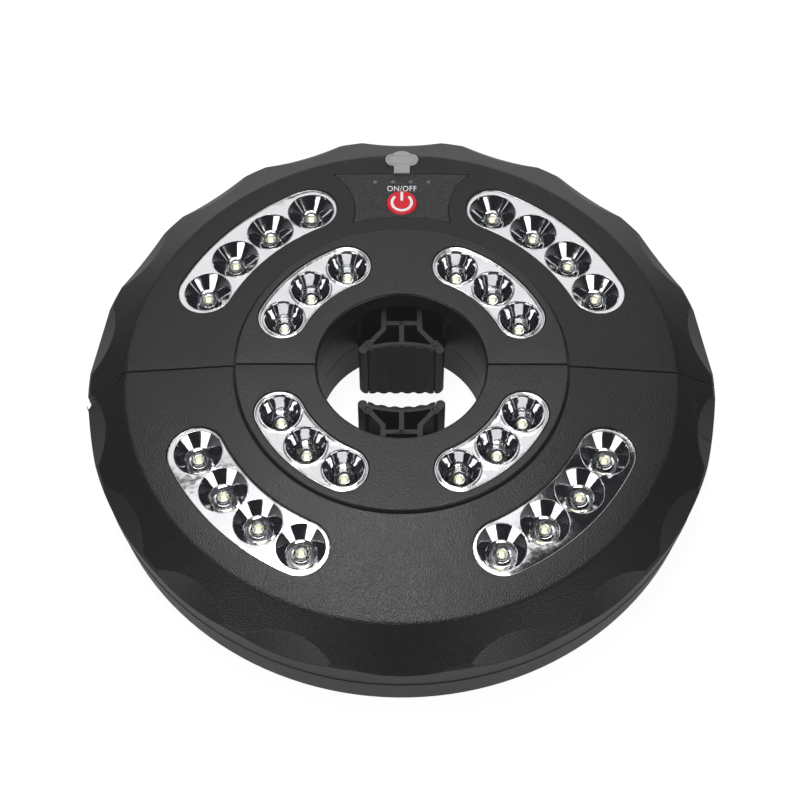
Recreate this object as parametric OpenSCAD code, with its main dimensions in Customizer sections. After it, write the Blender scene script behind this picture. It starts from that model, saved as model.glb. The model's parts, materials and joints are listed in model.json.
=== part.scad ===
// Patio umbrella light: a round clam-shell lamp that closes about a pole.
// The lamp lies on its back. +Z is the lit face, +X the latch side, -X the
// hinge side. The main half (+Y) holds the controls and the cells, and the
// swing half (-Y) opens about the upright pin at the left. Millimetres.

/* [Disc] */
// Radius at the widest point of the rim
rim_r = 107.8; // [107:0.1:109]
// Radius of the flat back
base_r = 104.7; // [104:0.1:105.5]
// Height from the back to the inner face
disc_h = 40.5; // [40:0.1:41]
// Height of the rim's widest point
rim_z = 27; // [26.5:0.1:27.5]
// Radius of the pole hole
hole_r = 28.6; // [28:0.1:28.8]
// Radius of the raised inner face
inner_face_r = 56.5; // [56:0.1:57.5]
// Drop from the inner face to the outer face
face_step = 1.2; // [0.8:0.1:1.4]
// Radius where the outer face turns into the bevel
shoulder_r = 94; // [93.5:0.1:94.5]
// Height of the outer face at the shoulder
shoulder_z = 35.2; // [35:0.1:35.5]
// Height of the seam between face cover and back cover
seam_z = 15; // [15:0.1:15.2]
// Wall thickness of the covers
wall = 2.2; // [2:0.1:2.3]
// Gap between the two halves at the parting plane
parting_gap = 0.5; // [0.4:0.1:0.6]

/* [Rim scallops] */
// Number of scallops round the rim
scallop_count = 18; // [18]
// Radius of the scallop's hollow
scallop_r = 95; // [90:1:100]
// Slope of a scallop below the horizontal, in degrees
scallop_slope = 49; // [47:1:51]

/* [Reflectors] */
// Radius of the ring of outer cups
outer_ring_r = 75; // [74.8:0.1:75.2]
// Angle between neighbouring outer cups
outer_pitch = 12.87; // [12.8:0.01:12.9]
// Rim radius of an outer cup
outer_cup_r = 8.2; // [8:0.1:8.3]
// Depth of an outer cup
outer_cup_depth = 5.4; // [5.3:0.1:5.5]
// Radius of the ring of inner cups
inner_ring_r = 44.7; // [44.5:0.1:44.9]
// Angle between neighbouring inner cups
inner_pitch = 19.8; // [19.6:0.1:20]
// Rim radius of an inner cup
inner_cup_r = 6.6; // [6.4:0.1:6.8]
// Depth of an inner cup
inner_cup_depth = 7; // [6.8:0.1:7.1]
// How far a reflector lies below the face
tray_drop = 0.9; // [0.8:0.1:1]

/* [Controls] */
// Distance of the power button from the pole axis
button_y = 70.2; // [70:0.1:70.4]
// Radius of the power button
button_r = 5.4; // [5.2:0.1:5.5]
// Distance of the charging port from the pole axis
port_y = 91.6; // [91.4:0.1:91.8]
// Spacing of the four charge indicators
indicator_pitch = 6.4; // [6.2:0.1:6.6]

/* [Clamp jaws] */
// Distance of a jaw's grip from the pole axis at rest
grip_y = 12; // [11.8:0.1:12.2]
// Half the width of a jaw
jaw_half_w = 14.8; // [14.6:0.1:14.9]
// Height of the top of a jaw
jaw_top = 32.7; // [32.5:0.1:32.8]

/* [Hinge and latch] */
// Place of the hinge pin
hinge_x = -103.1; // [-103.3:0.1:-102.9]
// Distance of the hinge pin behind the parting plane
hinge_y = 2.6; // [2.5:0.1:2.7]
// Radius of the hinge lobes
lobe_r = 8.4; // [8.3:0.1:8.5]
// Radius of the hollow hinge pin
pin_r = 2.5; // [2.4:0.1:2.6]
// Height of the latch button's trunnions
latch_pivot_z = 26.9; // [26.5:0.1:27]

/* [Hidden] */
$fn = 96;
over = 0.01;
big = 300;
fine = 180;
small = 32;

half_gap = parting_gap / 2;
outer_z0 = disc_h - face_step;
face_slope = (outer_z0 - shoulder_z) / (shoulder_r - inner_face_r);
bevel_slope = (shoulder_z - rim_z) / (rim_r - shoulder_r);

// Height of the outer skin at a radius, and radius of the side at a height
function face_z(r) = r <= inner_face_r ? disc_h
    : r <= shoulder_r ? outer_z0 - face_slope * (r - inner_face_r)
    : shoulder_z - bevel_slope * (r - shoulder_r);
function side_r(z) = base_r + (rim_r - base_r) * z / rim_z;
function reversed(points) = [for (i = [len(points) - 1 : -1 : 0]) points[i]];
function face_line(r0, r1, drop) = concat(
    [[r0, face_z(r0) - drop]],
    r0 < shoulder_r && r1 > shoulder_r ? [[shoulder_r, shoulder_z - drop]] : [],
    [[r1, face_z(r1) - drop]]);

// Covers
seam_gap = 0.15;
seam_chamfer = 0.35;
lip_z = 32;
groove_w = 0.5;
groove_depth = 0.6;
edge = 0.7;
rim_edge = 0.9;
scallop_mid_r = 104.55;
scallop_mid_z = 27.3;
boss_r = 3.5;
screw_shank_r = 1.4;
screw_hole_r = 1.45;
screw_head_r = 3;
screw_well_r = 3.3;
screw_seat_z = 7;
screw_tip_z = 24;
boss_places = [[70, 8.5], [32, 91.5]];

// Boards and what stands on them
board_z = 26.4;
board_t = 1.6;
board_top = board_z + board_t;
board_y0 = 13.5;
board_x0 = 15;
board_r1 = 86;
control_half_w = 20;
control_y0 = 63;
control_y1 = 95.5;
pillar_r = 2.4;
led_pillars = [[36, 36], [58, 58], [24, 52]];
control_pillars = [[14.5, 74], [14.5, 92.5]];
quadrant = 45;
outer_angles = [for (i = [-1.5 : 1 : 1.5]) i * outer_pitch];
inner_angles = [for (i = [-1 : 1 : 1]) i * inner_pitch];

// Reflector trays
outer_slot_r = 75.6;
outer_slot_half = 9.9;
outer_rim_z = face_z(outer_ring_r) - tray_drop;
outer_floor_r = 3;
outer_cup_lean = 3.5;
inner_slot_r = 45.1;
inner_slot_half = 8.7;
inner_rim_z = disc_h - tray_drop;
inner_floor_r = 3.1;
tray_t = 1.2;
tray_fit = 0.15;
flange_w = 1.4;
cup_t = 0.8;
led_hole_r = 2.75;
bead_w = 0.75;
bead_h = 0.45;

// Light-emitting diodes
led_r = 2.5;
led_flange_r = 2.9;
led_flange_h = 1;
led_body_h = 3.2;
outer_led_z = board_top + 0.8;
inner_led_z = board_top + 1.8;
chip_r = 1.3;
chip_h = 2.8;
chip_clear = 0.15;
leg_w = 0.5;
leg_gap = 1.27;

// Control panel outline: a straight far edge, an arc near the hole, hollow sides
panel_half_w = 24.4;
panel_y1 = 84.7;
panel_near_r = 63.5;
panel_side_x = 40.2;
panel_side_y = 66.75;
panel_side_r = 23.7;
panel_t = 0.6;
panel_sink = 0.12;
panel_fit = 0.22;
indicator_y = 80.7;
indicator_r = 0.8;
window_fit = 0.05;
button_fit = 0.15;
button_top = face_z(button_y) + 0.45;
button_flange_r = 6.3;
button_flange_z = 33.3;
plunger_r = 1.75;
switch_half = 3;
switch_h = 3.5;
plunger_z = board_top + 2.2;
plunger_top = 32.3;

// Charging port
port_wing_w = 12;
port_wing_r = 3;
port_tab_w = 6.2;
port_tab_y = 97.2;
port_pivot_y = 86;
port_root_y = 84.9;
port_proud = 0.4;
port_sink = 0.9;
port_fit = 0.2;
port_strap_w = 5.8;
well_w = 8.8;
well_d = 4.4;
plug_w = 7.2;
plug_d = 2.4;
plug_h = 1;
usb_w = 7.6;
usb_d = 2.9;
usb_top = 32.4;
usb_shell = 0.3;

// Clamp jaws: the grip is an arc about a centre on the far side of the pole
grip_r = 34;
grip_centre_y = grip_y - grip_r;
pad_t = 1;
jaw_wall_t = 1.3;
lobe_count = 6;
lobe_pitch = 7.1;
wave_r = 3.2;
tip_x = 13.2;
tip_r = 1.65;
pad_half_w = tip_x - tip_r - 0.1;
belly_r = 22.4;
belly_z = 24.8;
rib_t = 1.8;
knob = [11.4, 13.2];
knob_r = 1.7;
knob_shift = [0.27, 0.23];
knob_bar_t = 2.5;
mark_depth = 0.35;
neck_x = 6.2;
knee_y = 19.5;
crossbar_y = 22;
shelf_z = 14;
shelf_t = 2;
tail_y = 31.6;
tail_t = 2;
tail_half_w = 17.5;
tail_z0 = 8;
tail_z1 = 24;
slot_half_w = 15.4;
slot_top = 33;
rail_x = 18.2;
rail_t = 1.8;
stop_y0 = 29.2;
spring_wall_y = 58;
spring_wall_t = 2;
spring_x = 9;
spring_z = 13;
spring_r = 3;
spring_wire = 0.4;
peg_r = 1.9;
peg_h = 3;

// Cells in their cradle
cell_r = 9.2;
cell_len = 65;
cell_ring_r = 68;
cell_z = 13.2;
cell_fit = 0.1;
cradle_z = 2.3;
cradle_h = 8;
cradle_half_l = 35;
cradle_half_w = 10.4;

// Hinge
knuckle_z0 = 8.3;
knuckle_z1 = 21.7;
hinge_end_gap = 0.3;
knuckle_r = lobe_r - 0.3;
socket_r = lobe_r + 0.3;
pin_fit = 0.05;
pin_z0 = 1;
pin_z1 = 24.6;
pin_bore_r = 1.5;
lead_r = 1;
channel_r = 1.6;
lead_meet_z = 18;
main_lead_z = 25.9;
board_lead_z = board_top + lead_r + 0.1;

// Latch
latch_x0 = 99.5;
latch_y0 = -21.4;
latch_y1 = -5.9;
latch_z0 = 5;
latch_fit = 0.15;
latch_foot_gap = 0.55;
latch_pivot_x = 101.4;
trunnion_r = 0.8;
trunnion_len = 1.2;
arm_x0 = 95.5;
arm_y0 = -12.9;
arm_t = 2.5;
arm_z0 = 6;
arm_z1 = 12;
arm_slot_x0 = 92;
arm_slot_x1 = 102.3;
arm_slot_z0 = 4.8;
arm_slot_z1 = 13.8;
barb_x1 = 100.3;
barb_y0 = 3.6;
barb_y1 = 6.6;
catch_x0 = 98.7;
catch_x1 = 102.2;
catch_y0 = 2.3;
catch_t = 1;
catch_z1 = 14.5;
latch_plate_x0 = 97;
latch_plate_x1 = 98.9;
latch_plate_z1 = 22;
latch_post_x = 86;
latch_spring_y = -16.4;
latch_spring_z = 13;

// Fold-out hooks in the back
hook_pivot_y = 89;
hook_pivot_z = 2.7;
hook_barrel_r = 2.2;
hook_barrel_half = 6;
hook_z0 = 1.1;
hook_t = 3.2;
hook_ring_y = 75;
hook_ring_r = 7.5;
hook_ring_hole_r = 4.7;
hook_pin_r = 1;
hook_pin_half = 10.8;
pocket_half_w = 9.8;
pocket_y0 = 65.7;
pocket_y1 = 92.3;
pocket_h = 5.2;
pocket_wall = 1.7;

// ---------------------------------------------------------------- helpers

// Both sides of a piece that is repeated left and right
module both_sides() {
    children();
    mirror([1, 0, 0]) children();
}

// A piece of the swing half, drawn as its mirror image in the main half
module swing_side() {
    mirror([0, 1, 0]) children();
}

module box(x0, x1, y0, y1, z0, z1) {
    translate([x0, y0, z0]) cube([x1 - x0, y1 - y0, z1 - z0]);
}

// Upright bar between two points of the plan
module bar(p, q, t, z0, z1) {
    side = [p[1] - q[1], q[0] - p[0]] / norm(q - p) * t / 2;
    translate([0, 0, z0]) linear_extrude(z1 - z0)
        polygon([p + side, q + side, q - side, p - side]);
}

// Upright rib from one plan point to another, then on along Y, mitred at its knee
module strut(p, knee, end_y, t, z0, z1) {
    side = [p[1] - knee[1], knee[0] - p[0]] / norm(knee - p) * t / 2;
    onward = [-t / 2, 0];
    mitre = (side + onward) / (1 + (side * onward) / pow(t / 2, 2));
    translate([0, 0, z0]) linear_extrude(z1 - z0) polygon([
        p + side, knee + mitre, [knee[0], end_y] + onward,
        [knee[0], end_y] - onward, knee - mitre, p - side]);
}

// Tube through rings of points that run right-handed about its direction
module sweep(rings) {
    sides = len(rings[0]);
    last = len(rings) - 1;
    side_faces = [for (i = [0 : last - 1]) for (k = [0 : sides - 1]) for (half = [0, 1])
        let (a = i * sides + k, b = i * sides + (k + 1) % sides)
        half == 0 ? [a, b, b + sides] : [a, b + sides, a + sides]];
    end_faces = [[for (k = [sides - 1 : -1 : 0]) k],
        [for (k = [0 : sides - 1]) last * sides + k]];
    polyhedron(points = [for (ring = rings) for (p = ring) p],
        faces = concat(side_faces, end_faces));
}

// Lead through a list of points, eight-sided, mitred at its bends
function unit(v) = v / norm(v);
function tangent(p, i) = i == 0 ? unit(p[1] - p[0])
    : i == len(p) - 1 ? unit(p[i] - p[i - 1])
    : unit(unit(p[i] - p[i - 1]) + unit(p[i + 1] - p[i]));
function across(p, i) = i == 0
    ? unit(cross(tangent(p, 0), abs(tangent(p, 0)[2]) > 0.7 ? [1, 0, 0] : [0, 0, 1]))
    : let (t = tangent(p, i), s = across(p, i - 1)) unit(s - (s * t) * t);
module lead(points, r) {
    sides = 8;
    sweep([for (i = [0 : len(points) - 1])
        let (t = tangent(points, i), u = across(points, i), v = cross(t, u))
        [for (k = [0 : sides - 1])
            points[i] + r * (cos(360 * k / sides) * u + sin(360 * k / sides) * v)]]);
}

// Straight round channel between two points
module channel(p, q, r) {
    way = q - p;
    translate(p) rotate([0, acos(way[2] / norm(way)), atan2(way[1], way[0])])
        cylinder(r = r, h = norm(way), $fn = small);
}

// Ring of skin that follows the face, between two depths below it
module skin_ring(r0, r1, top_drop, bottom_drop) {
    rotate_extrude($fn = fine)
        polygon(concat(face_line(r0, r1, top_drop), reversed(face_line(r0, r1, bottom_drop))));
}

// Bent slot with round ends, centred on an angle
module bent_slot(mid_r, half_w, half_angle, z0, z1) {
    rotate([0, 0, -half_angle]) rotate_extrude(angle = 2 * half_angle, $fn = fine)
        translate([mid_r - half_w, z0]) square([2 * half_w, z1 - z0]);
    for (side = [-1, 1]) rotate([0, 0, side * half_angle])
        translate([mid_r, 0, z0]) cylinder(r = half_w, h = z1 - z0);
}

// Coil spring along Z, swept as one closed tube
module coil(r, wire_r, turns, length) {
    steps = turns * 12;
    sides = 6;
    sweep([for (i = [0 : steps])
        let (a = 360 * turns * i / steps)
        [for (k = [0 : sides - 1]) let (b = -360 * k / sides)
            [(r + wire_r * cos(b)) * cos(a), (r + wire_r * cos(b)) * sin(a),
             length * i / steps + wire_r * sin(b)]]]);
}

// ---------------------------------------------------------------- body shape

// The whole closed disc, with its scallops and soft edges
module disc_body() {
    difference() {
        rotate_extrude($fn = fine) polygon([
            [hole_r + edge, 0], [base_r - 2 * edge, 0], [side_r(2 * edge), 2 * edge],
            [side_r(rim_z - rim_edge), rim_z - rim_edge],
            [rim_r - rim_edge, face_z(rim_r - rim_edge)],
            [shoulder_r + edge, face_z(shoulder_r + edge)],
            [shoulder_r - edge, face_z(shoulder_r - edge)],
            [inner_face_r + groove_w, face_z(inner_face_r + groove_w)],
            [inner_face_r + groove_w, outer_z0 - groove_depth],
            [inner_face_r, outer_z0 - groove_depth],
            [inner_face_r, disc_h - edge / 2], [inner_face_r - edge / 2, disc_h],
            [hole_r + edge, disc_h], [hole_r, disc_h - edge],
            [hole_r, edge]]);
        for (k = [0 : scallop_count - 1])
            rotate([0, 0, (k + 0.5) * 360 / scallop_count])
                translate([scallop_mid_r, 0, scallop_mid_z])
                    rotate([0, scallop_slope - 90, 0])
                        translate([scallop_r, 0, -30])
                            cylinder(r = scallop_r, h = 60, $fn = fine);
    }
}

// The hollow inside the covers
module cavity() {
    rotate_extrude($fn = fine) polygon([
        [hole_r + wall, wall], [side_r(wall) - wall, wall],
        [side_r(rim_z - 3) - wall - 1.6, rim_z - 3],
        [shoulder_r - 1, shoulder_z - wall - 0.4],
        [inner_face_r, outer_z0 - groove_depth - wall + 0.6],
        [hole_r + wall, disc_h - wall - 1]]);
}

// Everything behind the parting plane
module main_half() {
    box(-big / 2, big / 2, half_gap, big / 2, -1, disc_h + 1);
}

// Upright column on the hinge pin's axis
module hinge_column(r, z0, z1) {
    translate([hinge_x, hinge_y, z0]) cylinder(r = r, h = z1 - z0);
}

// The same column in the mirror-image frame in which the swing half is drawn
module mirrored_hinge_column(r, z0, z1) {
    mirror([0, 1, 0]) hinge_column(r, z0, z1);
}

// Notch between the hinge lobe and the end of the swing half's rim
module rim_notch(z0, z1) {
    translate([0, 0, z0]) linear_extrude(height = z1 - z0)
        polygon([[-103.6, 5.4], [-104.6, 6.2], [-107.2, 9], [-112, 9.2], [-112, 0], [-105, 0]]);
}

// Wall across the parting plane, as wide as the shell
module parting_wall(z0, z1) {
    intersection() {
        disc_body();
        both_sides() box(hole_r, big / 2, half_gap, half_gap + wall - 0.2, z0, z1);
    }
}

// Region of the face cover: above the seam, and above the lip in the hole
module face_region() {
    rotate_extrude($fn = fine) polygon([
        [0, lip_z], [hole_r + wall + 0.4, lip_z], [hole_r + wall + 0.4, seam_z],
        [side_r(seam_z) - seam_chamfer, seam_z], [side_r(seam_z) + over, seam_z + seam_chamfer],
        [rim_r + 5, seam_z + seam_chamfer], [rim_r + 5, disc_h + 5], [0, disc_h + 5]]);
}

// Region of the back cover: below the seam, and the wall of the pole hole
module back_region() {
    rotate_extrude($fn = fine) polygon([
        [0, -1], [rim_r + 5, -1], [rim_r + 5, seam_z - seam_gap - seam_chamfer],
        [side_r(seam_z) + over, seam_z - seam_gap - seam_chamfer],
        [side_r(seam_z) - seam_chamfer, seam_z - seam_gap],
        [hole_r + wall, seam_z - seam_gap], [hole_r + wall, lip_z - seam_gap],
        [0, lip_z - seam_gap]]);
}

// Shallow witness line where the hole wall meets the seam height
module hole_witness_line() {
    translate([0, 0, seam_z]) rotate_extrude($fn = fine)
        polygon([[hole_r - 1, -0.3], [hole_r + 0.3, 0], [hole_r - 1, 0.3]]);
}

// Opening in the hole wall through which a jaw slides
module jaw_slot() {
    box(-slot_half_w, slot_half_w, 10, hole_r + 3.5, wall, slot_top);
}

// ---------------------------------------------------------------- face covers

module reflector_openings() {
    both_sides() rotate([0, 0, quadrant]) {
        bent_slot(outer_slot_r, outer_slot_half, 1.5 * outer_pitch, 28, disc_h + 1);
        bent_slot(inner_slot_r, inner_slot_half, inner_pitch, 28, disc_h + 1);
    }
}

module boss(place, z0, z1) {
    translate([place[0], place[1], z0]) cylinder(r = boss_r, h = z1 - z0, $fn = small);
}

// Shell, walls and bosses that both face covers share
module face_shell() {
    difference() {
        union() {
            intersection() {
                difference() {
                    disc_body();
                    cavity();
                }
                face_region();
                main_half();
            }
            intersection() {
                parting_wall(seam_z, disc_h);
                face_region();
            }
            both_sides() for (place = boss_places)
                boss(place, seam_z, face_z(norm(place) + boss_r) - wall + 0.5);
        }
        reflector_openings();
        jaw_slot();
        both_sides() for (place = boss_places) translate([place[0], place[1], seam_z - 1])
            cylinder(r = screw_hole_r, h = screw_tip_z - seam_z + 1.6, $fn = small);
    }
}

// Outline of the control panel as an upright prism, grown by a margin
module panel_prism(grow) {
    difference() {
        box(-panel_half_w - grow, panel_half_w + grow, 50, panel_y1 + grow, 30, disc_h + 1);
        translate([0, 0, 29]) cylinder(r = panel_near_r - grow, h = 20, $fn = fine);
        both_sides() translate([panel_side_x, panel_side_y, 29])
            cylinder(r = panel_side_r - grow, h = 20);
    }
}

// Outline of the port cover's flap, from its pivot to the finger tab
module port_prism(grow) {
    z0 = 28;
    h = 12;
    wing = port_wing_w / 2 - port_wing_r;
    box(-wing, wing, port_y - port_wing_r - grow + 0.1, port_y + port_wing_r + grow - 0.1, z0, z0 + h);
    both_sides() translate([wing, port_y, z0]) cylinder(r = port_wing_r + grow, h = h);
    box(-port_tab_w / 2 - grow, port_tab_w / 2 + grow, port_y, port_tab_y - 2, z0, z0 + h);
    translate([0, port_tab_y - 3.1, z0]) cylinder(r = port_tab_w / 2 + grow, h = h);
    box(-port_strap_w / 2 - grow, port_strap_w / 2 + grow, port_pivot_y, port_y, z0, z0 + h);
}

module strap_prism(grow) {
    box(-port_strap_w / 2 - grow, port_strap_w / 2 + grow,
        port_root_y - grow, port_pivot_y + grow, 28, 40);
}

// Pockets and holes that only the main half's face has
module control_cuts() {
    intersection() {
        panel_prism(panel_fit);
        skin_ring(inner_face_r + 1, shoulder_r, -2, panel_t + panel_sink);
    }
    intersection() {
        union() {
            port_prism(port_fit);
            strap_prism(port_fit);
        }
        skin_ring(80, rim_r - 2, -2, port_sink + 0.05);
    }
    box(-well_w / 2, well_w / 2, port_y - well_d / 2, port_y + well_d / 2, 28, disc_h);
    translate([0, button_y, 30]) cylinder(r = button_r + button_fit, h = 12);
    for (i = [-1.5 : 1 : 1.5]) translate([i * indicator_pitch, indicator_y, 30])
        cylinder(r = indicator_r + window_fit, h = 12, $fn = small);
}

module main_face_cover() {
    color("#2b2b2d") difference() {
        union() {
            difference() {
                face_shell();
                hinge_column(lobe_r, seam_z - 1, knuckle_z1 + hinge_end_gap);
            }
            intersection() {
                disc_body();
                hinge_column(lobe_r, knuckle_z1 + hinge_end_gap, disc_h);
            }
        }
        control_cuts();
        hinge_column(pin_r + pin_fit, knuckle_z1 - 1, pin_z1 + 0.3);
        hinge_column(channel_r, knuckle_z1 - 1, main_lead_z);
        channel([hinge_x, hinge_y, main_lead_z], [-93, 7, main_lead_z], channel_r);
        translate([hinge_x, hinge_y, main_lead_z]) sphere(r = channel_r, $fn = small);
    }
}

module swing_face_cover() {
    color("#2b2b2d") swing_side() difference() {
        union() {
            difference() {
                face_shell();
                mirrored_hinge_column(socket_r, knuckle_z1 + 0.15, disc_h + 1);
                rim_notch(knuckle_z1 + 0.15, disc_h + 1);
            }
            intersection() {
                disc_body();
                mirrored_hinge_column(knuckle_r, seam_z, knuckle_z1);
            }
        }
        mirrored_hinge_column(pin_r, seam_z - 1, knuckle_z1 + 1);
        channel([hinge_x, -hinge_y, seam_z], [-92, 9.6, seam_z], channel_r);
        latch_window();
        mirror([0, 1, 0]) latch_trunnions(pin_fit);
    }
}

// ---------------------------------------------------------------- back covers

module jaw_guides() {
    both_sides() {
        box(rail_x, rail_x + rail_t, stop_y0, spring_wall_y + spring_wall_t, wall - over, tail_z1);
        box(slot_half_w + 0.4, rail_x + over, stop_y0, tail_y - 0.3, wall - over, tail_z1);
        translate([spring_x, spring_wall_y + over, spring_z]) rotate([90, 0, 0])
            cylinder(r = peg_r, h = peg_h, $fn = small);
    }
    box(-rail_x - over, rail_x + over, spring_wall_y, spring_wall_y + spring_wall_t,
        wall - over, tail_z1);
}

module hook_housing() {
    box(-pocket_half_w - pocket_wall, pocket_half_w + pocket_wall,
        pocket_y0 - pocket_wall, pocket_y1 + pocket_wall, 0.5, pocket_h + pocket_wall);
}

module hook_pocket() {
    box(-pocket_half_w, pocket_half_w, pocket_y0, pocket_y1, -1, pocket_h);
    translate([-hook_pin_half - 0.1, hook_pivot_y, hook_pivot_z]) rotate([0, 90, 0])
        cylinder(r = hook_pin_r + pin_fit, h = 2 * hook_pin_half + 0.2, $fn = small);
}

// Shell, wells and supports that both back covers share
module back_shell() {
    difference() {
        union() {
            intersection() {
                difference() {
                    disc_body();
                    cavity();
                }
                back_region();
                main_half();
            }
            intersection() {
                parting_wall(0, seam_z);
                back_region();
            }
            both_sides() for (place = boss_places) boss(place, 0.5, seam_z - seam_gap);
            both_sides() for (place = led_pillars)
                translate([place[0], place[1], wall - over])
                    cylinder(r = pillar_r, h = board_z - wall + over, $fn = small);
            jaw_guides();
            hook_housing();
        }
        jaw_slot();
        hole_witness_line();
        hook_pocket();
        box(arm_slot_x0, arm_slot_x1, 0, 4, arm_slot_z0, arm_slot_z1);
        both_sides() for (place = boss_places) translate([place[0], place[1], -1]) {
            cylinder(r = screw_well_r, h = screw_seat_z + 1, $fn = small);
            cylinder(r = screw_hole_r, h = seam_z + 2, $fn = small);
        }
        both_sides() for (place = led_pillars) translate([place[0], place[1], board_z - 6])
            cylinder(r = 0.85, h = 7, $fn = small);
    }
}

module main_back_cover() {
    color("#2b2b2d") difference() {
        union() {
            difference() {
                back_shell();
                hinge_column(lobe_r, knuckle_z0 - hinge_end_gap, seam_z + 1);
            }
            intersection() {
                disc_body();
                hinge_column(lobe_r, 0, knuckle_z0 - hinge_end_gap);
            }
            both_sides() for (place = control_pillars)
                translate([place[0], place[1], wall - over])
                    cylinder(r = pillar_r, h = board_z - wall + over, $fn = small);
        }
        hinge_column(pin_r + pin_fit, -1, knuckle_z0 + 1);
        both_sides() for (place = control_pillars)
            translate([place[0], place[1], board_z - 6]) cylinder(r = 0.85, h = 7, $fn = small);
    }
}

module swing_back_cover() {
    color("#2b2b2d") swing_side() difference() {
        union() {
            difference() {
                back_shell();
                mirrored_hinge_column(socket_r, -1, knuckle_z0 - 0.15);
                rim_notch(-1, knuckle_z0 - 0.15);
            }
            intersection() {
                disc_body();
                mirrored_hinge_column(knuckle_r, knuckle_z0, seam_z - seam_gap);
            }
            box(latch_post_x, latch_post_x + 2, -latch_spring_y - 5, -latch_spring_y + 5,
                wall - over, latch_spring_z + 4);
        }
        mirrored_hinge_column(pin_r, knuckle_z0 - 1, seam_z + 1);
        channel([hinge_x, -hinge_y, seam_z], [-92, 9.6, seam_z], channel_r);
        latch_window();
    }
}

// ---------------------------------------------------------------- reflectors

module cup_row(ring_r, angles, z) {
    for (a = angles) rotate([0, 0, a]) translate([ring_r, 0, z]) children();
}

module outer_reflector() {
    floor_z = outer_rim_z - outer_cup_depth;
    half_angle = 1.5 * outer_pitch;
    flare = (outer_cup_r - outer_floor_r) / outer_cup_depth;
    color("#e8e8ea") rotate([0, 0, quadrant]) difference() {
        union() {
            intersection() {
                bent_slot(outer_slot_r, outer_slot_half - tray_fit, half_angle, 28, disc_h);
                skin_ring(60, 92, tray_drop, wall + 0.4 + tray_t);
            }
            intersection() {
                bent_slot(outer_slot_r, outer_slot_half + flange_w, half_angle, 28, disc_h);
                skin_ring(60, 92, wall + 0.5, wall + 0.4 + tray_t);
            }
            cup_row(outer_ring_r, outer_angles, floor_z) rotate([0, outer_cup_lean, 0])
                translate([0, 0, -cup_t])
                    cylinder(r1 = outer_floor_r + cup_t, r2 = outer_floor_r + cup_t + 5 * flare, h = 5);
        }
        cup_row(outer_ring_r, outer_angles, floor_z) rotate([0, outer_cup_lean, 0])
            cylinder(r1 = outer_floor_r, r2 = outer_floor_r + 8 * flare, h = 8);
        cup_row(outer_ring_r, outer_angles, floor_z - 2)
            cylinder(r = led_hole_r, h = 4, $fn = small);
    }
}

module inner_reflector() {
    floor_z = inner_rim_z - inner_cup_depth;
    flare = (inner_cup_r - inner_floor_r) / inner_cup_depth;
    top_z = inner_rim_z + bead_h;
    color("#e8e8ea") rotate([0, 0, quadrant]) difference() {
        union() {
            difference() {
                bent_slot(inner_slot_r, inner_slot_half - tray_fit, inner_pitch,
                    inner_rim_z - 3.4, top_z);
                bent_slot(inner_slot_r, inner_slot_half - tray_fit - bead_w, inner_pitch,
                    inner_rim_z, top_z + 1);
            }
            bent_slot(inner_slot_r, inner_slot_half + flange_w, inner_pitch,
                inner_rim_z - 3.4, inner_rim_z - 2.5);
            cup_row(inner_ring_r, inner_angles, inner_rim_z - over)
                cylinder(r = inner_cup_r + bead_w, h = bead_h);
            cup_row(inner_ring_r, inner_angles, floor_z - cup_t)
                cylinder(r1 = inner_floor_r + cup_t, r2 = inner_floor_r + cup_t + 5 * flare, h = 5);
        }
        cup_row(inner_ring_r, inner_angles, floor_z)
            cylinder(r1 = inner_floor_r, r2 = inner_floor_r + 9 * flare, h = 9);
        cup_row(inner_ring_r, inner_angles, floor_z - 2)
            cylinder(r = led_hole_r, h = 4, $fn = small);
    }
}

// ---------------------------------------------------------------- lamps and boards

module each_led() {
    both_sides() rotate([0, 0, quadrant]) {
        cup_row(outer_ring_r, outer_angles, outer_led_z) children(0);
        cup_row(inner_ring_r, inner_angles, inner_led_z) children(1);
    }
}

// Clear bulb with a flange, hollow underneath for its chip and frame
module led_lens() {
    difference() {
        union() {
            cylinder(r = led_flange_r, h = led_flange_h, $fn = 48);
            cylinder(r = led_r, h = led_body_h, $fn = 48);
            translate([0, 0, led_body_h]) sphere(r = led_r, $fn = 48);
        }
        translate([0, 0, -5]) cube([8, 8, 10], center = true);
        translate([0, 0, -over]) cylinder(r = chip_r + chip_clear, h = chip_h + chip_clear, $fn = 48);
    }
}

// Frame with a small dish for the chip, on two legs of a given length
module led_chip(leg) {
    difference() {
        translate([0, 0, 0.1]) cylinder(r = chip_r, h = chip_h - 0.1, $fn = 48);
        translate([0, 0, chip_h - 0.5]) cylinder(r1 = 0.6, r2 = 1.05, h = 0.52, $fn = 48);
    }
    for (side = [-1, 1])
        translate([side * leg_gap / 2, 0, (0.3 - leg) / 2])
            cube([leg_w, leg_w, leg + 0.3], center = true);
}

module half_led_lenses() {
    color("#e6f0f5", 0.5) each_led() {
        led_lens();
        led_lens();
    }
}

module half_led_chips() {
    color("#d9d060") each_led() {
        led_chip(outer_led_z - board_top - 0.05);
        led_chip(inner_led_z - board_top - 0.05);
    }
}

module half_led_boards() {
    color("#e9ece6") both_sides() difference() {
        intersection() {
            translate([0, 0, board_z]) cylinder(r = board_r1, h = board_t, $fn = fine);
            box(board_x0, big / 2, board_y0, big / 2, 0, disc_h);
        }
        translate([0, 0, board_z - 1]) cylinder(r = hole_r + wall + 2, h = board_t + 2, $fn = fine);
        box(0, control_half_w + 1.6, control_y0 - 2, big / 2, 0, disc_h);
        for (place = led_pillars) translate([place[0], place[1], board_z - 1])
            cylinder(r = 1.1, h = board_t + 2, $fn = small);
    }
}

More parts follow.
